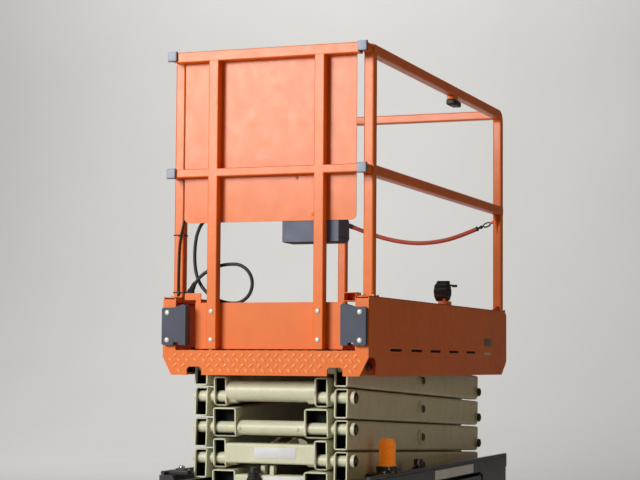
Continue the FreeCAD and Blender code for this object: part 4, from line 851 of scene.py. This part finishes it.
def add_box_fittings():
    tilt = Matrix.Rotation(-atan2(BOX_SLOPE.z, BOX_SLOPE.x), 4, "Y")
    centre = on_box(0.159, 0.0)
    shape = bmesh.new()
    low = centre - Vector((0.045, 0.1, 0.0015))
    high = centre + Vector((0.045, 0.1, 0.0025))
    slab(shape, low, high, 0.002, steps=3, turn=tilt, about=centre)
    add_piece("box_panel", shape, "blue_grey", "extension")
    # Joystick with its bellows and grip
    shape = bmesh.new()
    bellows = [(0.03, 0.002), (0.03, 0.005)]
    for k in range(4):
        radius = 0.027 - 0.0035 * k
        rise = 0.005 * k
        bellows += [
            (radius, 0.007 + rise), (radius + 0.0012, 0.009 + rise), (radius - 0.002, 0.0115 + rise),
        ]
    turned(shape, on_box(JOYSTICK_Y, 0.0), BOX_NORMAL, bellows + [(0.0125, 0.028)], 36)
    turned(shape, on_box(JOYSTICK_Y, 0.0), BOX_NORMAL, [
        (0.0122, 0.024), (0.0128, 0.034), (0.015, 0.044), (0.0162, 0.054), (0.015, 0.064),
        (0.0105, 0.071), (0, 0.073),
    ], 32)
    trigger = on_box(JOYSTICK_Y, 0.0, 0.048)
    low = trigger - Vector((0.02, 0.005, 0.011))
    slab(shape, low, trigger + Vector((-0.01, 0.005, 0.011)), 0.003, steps=3)
    add_piece("joystick", shape, "nylon", "extension")
    turned_piece("stop_button", on_box(STOP_Y, 0.0), BOX_NORMAL, [
        (0.0208, 0.002), (0.0212, 0.01), (0.0235, 0.013), (0.024, 0.018), (0.0215, 0.0235),
        (0.014, 0.0255), (0, 0.026),
    ], 40, "stop_red", "extension")
    turned_piece("stop_ring", on_box(STOP_Y, 0.0), BOX_NORMAL, [
        (0.029, 0.002), (0.029, 0.0042), (0.0275, 0.005), (0.0213, 0.005),
    ], 40, "ring_yellow", "extension")
    # Key switch, two toggles and the panel's screws
    shape = bmesh.new()
    turned(shape, on_box(0.163, 0.022, 0.002), BOX_NORMAL, [
        (0.01, 0.0), (0.01, 0.003), (0.0085, 0.0045), (0.0085, 0.0075), (0.0075, 0.0085),
    ])
    for y in (0.15, 0.176):
        turned(shape, on_box(y, -0.018, 0.002), BOX_NORMAL, [
            (0.0075, 0.0), (0.0075, 0.003), (0.0055, 0.0038), (0.003, 0.0045), (0.0034, 0.017),
            (0.002, 0.0185),
        ], 18)
    screw = dome_profile(0.0035, 0.0022)
    for y in (0.07, 0.247):
        for up in (-0.038, 0.038):
            turned(shape, on_box(y, up, 0.002), BOX_NORMAL, screw, 12)
    add_piece("box_switches", shape, "steel", "extension")
    # Seam between the box's halves, and a dark foot along its lower edge
    shape = bmesh.new()
    for low, high in (
        ((0.771, 0.0508, 1.4015), (0.8845, 0.0524, 1.4045)),
        ((0.771, 0.2656, 1.4015), (0.8845, 0.2672, 1.4045)),
        ((0.7708, 0.052, 1.4015), (0.7728, 0.266, 1.4045)),
    ):
        slab(shape, low, high, 0.0006)
    slab(shape, (0.792, 0.058, 1.384), (0.882, 0.26, 1.3885), 0.0015)
    add_piece("box_seam", shape, "nylon", "extension")


# Scissor stack
PIN_SUNK = 0.0002
SKIN = 0.0004
SLEEVE_IN = 0.0152
# Back and front of the black linings, which paint shade inside the arms' open ends
SHADE_LINING_X = (FRONT_PIN_X - 0.026, FRONT_PIN_X + 0.022)
COLLAR_END_Y = 0.1402


def pin_z(level):
    return BASE_PIN_Z + LEVEL_RISE * level


def add_pin_fittings():
    # Dark domed bolts in the round heads at the left ends of the front pins
    for level in range(2, 5):
        z = pin_z(level - 1)
        body = "inner_%d" % level
        shape = bmesh.new()
        dome = dome_profile(0.015, 0.0105, skirt=0.2, steps=8)
        turned(shape, (FRONT_PIN_X, HEAD_END - SUNK, z), Y, dome)
        turned(shape, (FRONT_PIN_X, HEAD_END - 2 * SUNK, z), Y, [
            (0.0205, 0.0), (0.0205, 0.0024), (0.0195, 0.0032), (0.0155, 0.0032), (0.0155, 0.0),
        ])
        add_piece("front_pin_bolt_%d" % level, shape, "dark_steel", body)
        turned_piece("right_pin_end_%d" % level, (FRONT_PIN_X, -PIN_END + PIN_SUNK, z), -Y, [
            (0.0148, 0.0), (0.0148, 0.0012), (0.0135, 0.0022), (0.0048, 0.0022), (0.004, 0.0012),
            (0.0, 0.0012),
        ], 24, "cream_paint", body)
    # Middle pins: a recessed end in a raised ring
    for level in range(1, 5):
        z = pin_z(level - 1) + LEVEL_RISE / 2
        for side, name in SIDES:
            key = "%s_%d" % (name, level)
            out = (0, side, 0)
            turned_piece("middle_pin_" + key, (MID_PIN_X, side * (PIN_END - PIN_SUNK), z), out, [
                (0.0148, 0.0), (0.0148, 0.004), (0.0138, 0.0052), (0.0085, 0.0052), (0.0075, 0.003),
                (0, 0.003),
            ], 24, "brown_steel", "inner_%d" % level)
            turned_piece("middle_ring_" + key, (MID_PIN_X, side * (BOSS_END - PIN_SUNK), z), out, [
                (0.03, -0.0048), (0.03, -0.002), (0.028, 0.0002), (0.0206, 0.0002), (0.0206, -0.0048),
                (0.03, -0.0048),
            ], 32, "cream_paint", "outer_%d" % level)
    # Rear pins, with black bolts at their ends
    for level in range(1, 4):
        for side, name in SIDES:
            turned_piece(
                "rear_pin_bolt_%s_%d" % (name, level),
                (REAR_PIN_X, side * (PIN_END - SUNK), pin_z(level)), (0, side, 0),
                dome_profile(0.0185, 0.012, skirt=0.3, steps=7), 24, "nylon", "inner_%d" % level,
            )


def add_arm_insides():
    # Sleeves round the front pins, and black linings behind them in the open ends of the arms: painted
    # shade inside the hollow tubes
    slope = (LEVEL_RISE - 2 * PIN_OFFSET) / (FRONT_PIN_X - REAR_PIN_X)
    half = ARM_H / 2 - ARM_WALL - PIN_SUNK
    back, front = SHADE_LINING_X
    for level in range(1, 5):
        z = pin_z(level - 1)
        inner_y = WIDE_Y if level % 2 else NARROW_Y
        for body, across, middle_z, rise in (
            ("inner_%d" % level, inner_y, z + PIN_OFFSET, -slope),
            ("outer_%d" % level, OUTER_Y, pin_z(level) - PIN_OFFSET, slope),
        ):
            low_y = across[0] + ARM_WALL + PIN_SUNK
            high_y = across[1] - ARM_WALL - PIN_SUNK
            centre = Vector((back, 0.0, middle_z + (back - FRONT_PIN_X) * rise))
            rest = dict(steps=1, turn=Matrix.Rotation(-atan(rise), 4, "Y"), about=centre)
            low_z = centre.z - half
            high_z = centre.z + half
            shape = bmesh.new()
            for side in (1, -1):
                near, far = between(side, low_y, high_y)
                slab(shape, (back - 0.003, near, low_z), (back, far, high_z), 0.0001, **rest)
                low = (back, near, low_z)
                walls(shape, low, (front, far, high_z), Y_ENDS + Z_ENDS, SKIN, 0.0001, **rest)
            add_piece(body + "_shade_linings", shape, "black_plug", body)
            if across is OUTER_Y:
                continue
            reach = high_y - low_y
            shape = bmesh.new()
            for side in (1, -1):
                turned(shape, (FRONT_PIN_X, side * low_y, z), (0, side, 0), [
                    (SLEEVE_IN, 0.0), (BOSS_R, 0.0), (BOSS_R, reach), (SLEEVE_IN, reach),
                    (SLEEVE_IN, 0.0),
                ], 36)
            add_piece(body + "_sleeves", shape, "cream_paint", body)


def add_collar_bolts():
    # Recessed bolts at the inner ends of the collars of the second and fourth inner frames
    for level in (2, 4):
        body = "inner_%d" % level
        for side, name in SIDES:
            at = (FRONT_PIN_X, side * COLLAR_END_Y, pin_z(level - 1))
            out = (0, -side, 0)
            turned_piece("collar_rim_%s_%d" % (name, level), at, out, [
                (0.024, -0.004), (0.024, 0.002), (0.0225, 0.0034), (0.0185, 0.0034), (0.0175, 0.001),
                (0.0175, -0.002),
            ], 32, "cream_paint", body)
            shape = bmesh.new()
            turned(shape, at, out, [(0.0174, -0.001), (0.0174, 0.0008), (0.016, 0.0014)])
            bolt(shape, Vector(at) + Vector(out) * 0.001, out, 0.0105, 0.0075, washer=0.014)
            add_piece("collar_bolt_%s_%d" % (name, level), shape, "dark_steel", body)
    # Two screws in the round cross tube of the third frame
    shape = bmesh.new()
    for y in (-0.123, 0.102):
        out = Vector((0.985, 0, -0.1)).normalized()
        at = Vector((FRONT_PIN_X, y, pin_z(2))) + out * 0.0262
        turned(shape, at, out, dome_profile(0.007, 0.0045), 16)
    add_piece("tube_screws", shape, "cream_paint", "inner_3")


def add_stack_plates():
    # Blank plates where the real ones carry words
    back = TUBE_FRONT_X - 0.0004
    front = TUBE_FRONT_X + 0.0009
    for level, low, high in (
        (2, (-0.058, 0.617), (0.102, 0.6555)), (1, (-0.022, 0.506), (0.122, 0.552)),
    ):
        slab_piece(
            "member_plate_%d" % level, (back, *low), (front, *high), 0.0004, "white_plate",
            "inner_%d" % level,
        )


def add_hose_boot():
    # A ribbed boot over the hoses at the lowest member
    shape = bmesh.new()
    at = (0.87, -0.056, 0.492)
    profile = [(0.026, 0.0)]
    for k in range(7):
        radius = 0.0285 - 0.0014 * k
        z = 0.006 + 0.0105 * k
        profile += [
            (radius, z), (radius + 0.0014, z + 0.003), (radius, z + 0.006),
            (radius - 0.0022, z + 0.0085),
        ]
    profile += [(0.0175, 0.082), (0.0165, 0.09), (0.01, 0.0935), (0, 0.094)]
    turned(shape, at, Z, profile, 32)
    slab(shape, (0.86, -0.086, 0.499), (0.864, -0.026, 0.545), 0.001)
    add_piece("hose_boot", shape, "nylon", "inner_1")
    shape = bmesh.new()
    cap = [(0.0105, 0.0), (0.0105, 0.002), (0.0095, 0.003)]
    for y in (-0.0345, 0.0005):
        turned(shape, (FRONT_PIN_X, y, 0.587), Z, cap, 20)
    add_piece("hose_post_caps", shape, "cream_paint", "inner_1")


# Chassis
BEACON_AT = (0.612, 0.36)
BEACON_TURNS = 11
LENS_FOOT = 0.584
SOUNDER_AT = (0.274, 0.5745)


def add_beacon():
    x, y = BEACON_AT
    lens = [(0.03, 0.0), (0.031, 0.002), (0.031, 0.01)]
    for k in range(BEACON_TURNS):
        z = 0.012 + 0.0062 * k
        lens += [(0.0305, z), (0.0288, z + 0.0016), (0.0305, z + 0.0034)]
    lens += [
        (0.03, 0.084), (0.0285, 0.092), (0.0245, 0.0985), (0.018, 0.1015), (0.012, 0.102),
        (0.0085, 0.1005), (0, 0.0995),
    ]
    piece = turned_piece(
        "beacon_lens", (x, y, LENS_FOOT), Z, lens, 48, "amber_lens", "chassis", crease=50.0
    )
    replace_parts(piece, "beacon_dome")
    # Its base on a foot slab, with three screws
    shape = bmesh.new()
    turned(shape, (x, y, LEDGE_TOP + SUNK), Z, [
        (0.0395, 0.0), (0.0395, 0.004), (0.0388, 0.006), (0.0388, 0.017), (0.036, 0.021),
        (0.036, 0.0335), (0.0342, 0.0355), (0.0315, 0.0355),
    ], 48)
    for k in range(3):
        angle = radians(30 + 120 * k)
        out = Vector((cos(angle), sin(angle), 0))
        spot = Vector((x, y, LEDGE_TOP + 0.018)) + out * 0.0365
        turned(shape, spot, Z, [(0.0062, 0.0), (0.0062, 0.014), (0.005, 0.016)], 16)
    slab(
        shape, (x - 0.048, y - 0.06, LEDGE_TOP - SUNK), (x + 0.06, y + 0.037, LEDGE_TOP + 0.012),
        0.004, steps=3,
    )
    add_piece("beacon_base", shape, "dark_steel", "chassis")
    # Its lead to the sounder, clipped along the ledge
    lead = [
        (0.575, 0.366, 0.562), (0.54, 0.37, 0.561), (0.49, 0.372, 0.5555), (0.42, 0.371, 0.5545),
        (0.36, 0.371, 0.556), (0.322, 0.371, 0.57), (0.3, 0.371, 0.574),
    ]
    add_curve("beacon_lead", lead, 0.0042, "nylon", "chassis")
    x, z = SOUNDER_AT
    shape = bmesh.new()
    for clip in (0.47, 0.38):
        slab(shape, (clip - 0.005, 0.3655, 0.5497), (clip + 0.005, 0.377, 0.56), 0.0015)
    turned(shape, (x, 0.3826, z), Y, [
        (0.0222, 0.0), (0.0222, 0.0015), (0.02, 0.003), (0.015, 0.003), (0.014, 0.0018),
        (0.009, 0.0018), (0.008, 0.003), (0.003, 0.003), (0.002, 0.0018), (0, 0.0018),
    ], 40)
    add_piece("sounder_face", shape, "nylon", "chassis")
    turned_piece("sounder_ring", (x, 0.374, z), Y, [
        (0.0226, 0.0), (0.0245, 0.0005), (0.0245, 0.007), (0.0226, 0.008), (0.0226, 0.0),
    ], 40, "steel", "chassis")


def add_ledge_fittings():
    # A covered switch with a bright knob on the right ledge, near the front
    shape = bmesh.new()
    slab(shape, (0.868, -0.372, LEDGE_TOP - SUNK), (0.909, -0.296, LEDGE_TOP + 0.018), 0.003, steps=3)
    slab(shape, (0.874, -0.35, LEDGE_TOP + 0.015), (0.902, -0.31, LEDGE_TOP + 0.024), 0.003, steps=3)
    add_piece("ledge_switch", shape, "nylon", "chassis")
    shape = bmesh.new()
    x = 0.888
    turned(shape, (x, -0.33, LEDGE_TOP + 0.022), Z, dome_profile(0.0115, 0.013, skirt=0.5), 24)
    for y in (-0.364, -0.303):
        turned(shape, (x, y, LEDGE_TOP + 0.0175), Z, dome_profile(0.0038, 0.003), 12)
    add_piece("ledge_switch_knob", shape, "steel", "chassis")
    # Blank plate on the left ledge's side
    slab_piece(
        "ledge_plate", (-0.39, LEDGE_FACE - 0.0006, 0.5075), (0.15, LEDGE_FACE + 0.0006, 0.5435),
        0.0005, "white_plate", "chassis",
    )


# Wheels
LUGS = 8
LUG_CIRCLE_R = 0.074
LUG_Y = 0.366
HUB_CAP_Y = 0.3965


def tyre_profile():
    low, high = WHEEL_Y
    width = high - low
    groove = width * 0.3
    half = [
        (RIM_R, 0.0), (RIM_R + 0.006, 0.0), (RIM_R + 0.01, 0.0018), (RIM_R + 0.016, 0.0018),
        (RIM_R + 0.02, 0.0), (WHEEL_R - 0.016, 0.0), (WHEEL_R - 0.0075, 0.0022),
        (WHEEL_R - 0.0025, 0.0062), (WHEEL_R, 0.0115), (WHEEL_R, groove),
        (WHEEL_R - 0.0028, groove + 0.0015), (WHEEL_R - 0.0028, groove + 0.0045),
        (WHEEL_R, groove + 0.006),
    ]
    return half + [(radius, width - along) for radius, along in reversed(half)]


def add_wheels():
    profile = tyre_profile()
    profile.append(profile[0])
    bolt_end = [(0.0045, 0.0), (0.0045, 0.006), (0.0038, 0.0068)]
    for x, end in ((FRONT_WHEEL_X, "front"), (REAR_WHEEL_X, "rear")):
        for side, name in SIDES:
            key = "%s_%s" % (end, name)
            body = key + "_wheel"
            out = Vector((0, side, 0))
            tyre = turned_piece(
                key + "_tread", (x, side * WHEEL_Y[0], WHEEL_R), out, profile, 96, "white_rubber", body
            )
            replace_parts(tyre, "%s_%s_tyre" % (end, name))
            shape = bmesh.new()
            for k in range(LUGS):
                angle = tau * k / LUGS + 0.2
                spot = Vector((x, side * LUG_Y, WHEEL_R))
                spot += Vector((cos(angle), 0, sin(angle))) * LUG_CIRCLE_R
                bolt(shape, spot - out * SUNK, out, 0.0085, 0.0075, washer=0.0115)
                turned(shape, spot + out * 0.007, out, bolt_end, 12)
            turned(shape, (x, side * HUB_CAP_Y, WHEEL_R), out, [
                (0.04, 0.0), (0.04, 0.001), (0.038, 0.0024), (0.02, 0.003), (0.012, 0.0034),
                (0.0, 0.0036),
            ], 40)
            add_piece(key + "_lugs", shape, "dark_steel", body)


LATCH_X = 0.43
LATCH_Z = 0.448
LATCH = (
    (0.024, 0.0), (0.024, 0.0004), (0.0225, 0.001), (0.017, 0.001), (0.016, 0.0004), (0, 0.0004),
)


def add_tray_fittings():
    # Round flush latches, each with its key slot's bar
    for side, name in SIDES:
        shape = bmesh.new()
        face = side * (LEDGE_FACE - 0.0002)
        low, high = sorted((face, face + side * 0.0011))
        for x in (LATCH_X, -LATCH_X):
            turned(shape, (x, face, LATCH_Z), (0, side, 0), LATCH, 36)
            slab(shape, (x - 0.013, low, 0.4435), (x + 0.013, high, 0.4525), 0.0005)
        add_piece(name + "_tray_latches", shape, "dark_steel", name + "_tray")


add_camera()
add_control_cable()
add_entry_chain()
add_bright_bolts()
add_treads()
add_deck_lock()
add_slide_pad()
add_gussets()
add_skirts()
add_skirt_fittings()
add_front_bracket()
add_rail_fittings()
add_box_fittings()
add_pin_fittings()
add_arm_insides()
add_collar_bolts()
add_stack_plates()
add_hose_boot()
add_beacon()
add_ledge_fittings()
add_wheels()
add_tray_fittings()


# Floor and light
FLOOR_X = 25.0
FLOOR_Y = (-30.0, 30.0)
SCREEN_FOOT = -9.0
SCREEN_SWEEP = 5.0
SCREEN_STEPS = 24
SCREEN_TOP = 14.0
SCREEN_Y = (-24.0, 1.5)
# Name, place, aim, size in metres, power in watts, colour
LIGHTS = (
    ("key", (7.5, -3.1, 3.8), (0.0, 0.0, 1.1), 3.2, 580.0, (1.0, 0.985, 0.96)),
    ("top", (0.0, 0.0, 7.0), (0.0, 0.0, 1.0), 6.0, 110.0, (1.0, 1.0, 1.0)),
    ("side", (1.0, 7.0, 2.5), (0.0, 0.0, 1.0), 4.0, 40.0, (1.0, 0.64, 0.26)),
    ("screen_light", (-7.0, -5.5, 8.5), (-14.0, -5.5, 2.5), 8.0, 1000.0, (1.0, 1.0, 1.0)),
)
WORLD_COLOUR = (1.0, 0.97, 0.92, 1.0)
WORLD_STRENGTH = 0.06


def add_sheet(name, profile, sides, look):
    """A surface swept along y from (x, z) points."""
    points = []
    faces = []
    for k, (x, z) in enumerate(profile):
        points += [(x, sides[0], z), (x, sides[1], z)]
        if k:
            faces.append((2 * k - 2, 2 * k - 1, 2 * k + 1, 2 * k))
    mesh = bpy.data.meshes.new(name)
    mesh.from_pydata(points, [], faces)
    mesh.shade_smooth()
    sheet = bpy.data.objects.new(name, mesh)
    scene.collection.objects.link(sheet)
    mesh.materials.append(look)


def add_room():
    # A pale floor, and behind the machine a screen that rises from it in a curve
    pale = make_material("pale_floor", (0.52, 0.515, 0.5), 0.9, mottle=0.02, cloud=0.6)
    add_sheet("floor", [(FLOOR_X, 0.0), (SCREEN_FOOT, 0.0)], FLOOR_Y, pale)
    rise = [(SCREEN_FOOT, 0.0)]
    for k in range(1, SCREEN_STEPS + 1):
        angle = pi / 2 * k / SCREEN_STEPS
        x = SCREEN_FOOT - SCREEN_SWEEP * sin(angle)
        rise.append((x, SCREEN_SWEEP - SCREEN_SWEEP * cos(angle)))
    rise.append((SCREEN_FOOT - SCREEN_SWEEP, SCREEN_TOP))
    add_sheet("screen", rise, SCREEN_Y, pale)


add_room()
for light in LIGHTS:
    add_area_light(*light)
world = bpy.data.worlds.new("studio")
world.use_nodes = True
background = world.node_tree.nodes["Background"]
background.inputs["Color"].default_value = WORLD_COLOUR
background.inputs["Strength"].default_value = WORLD_STRENGTH
scene.world = world
scene.view_settings.view_transform = "Standard"
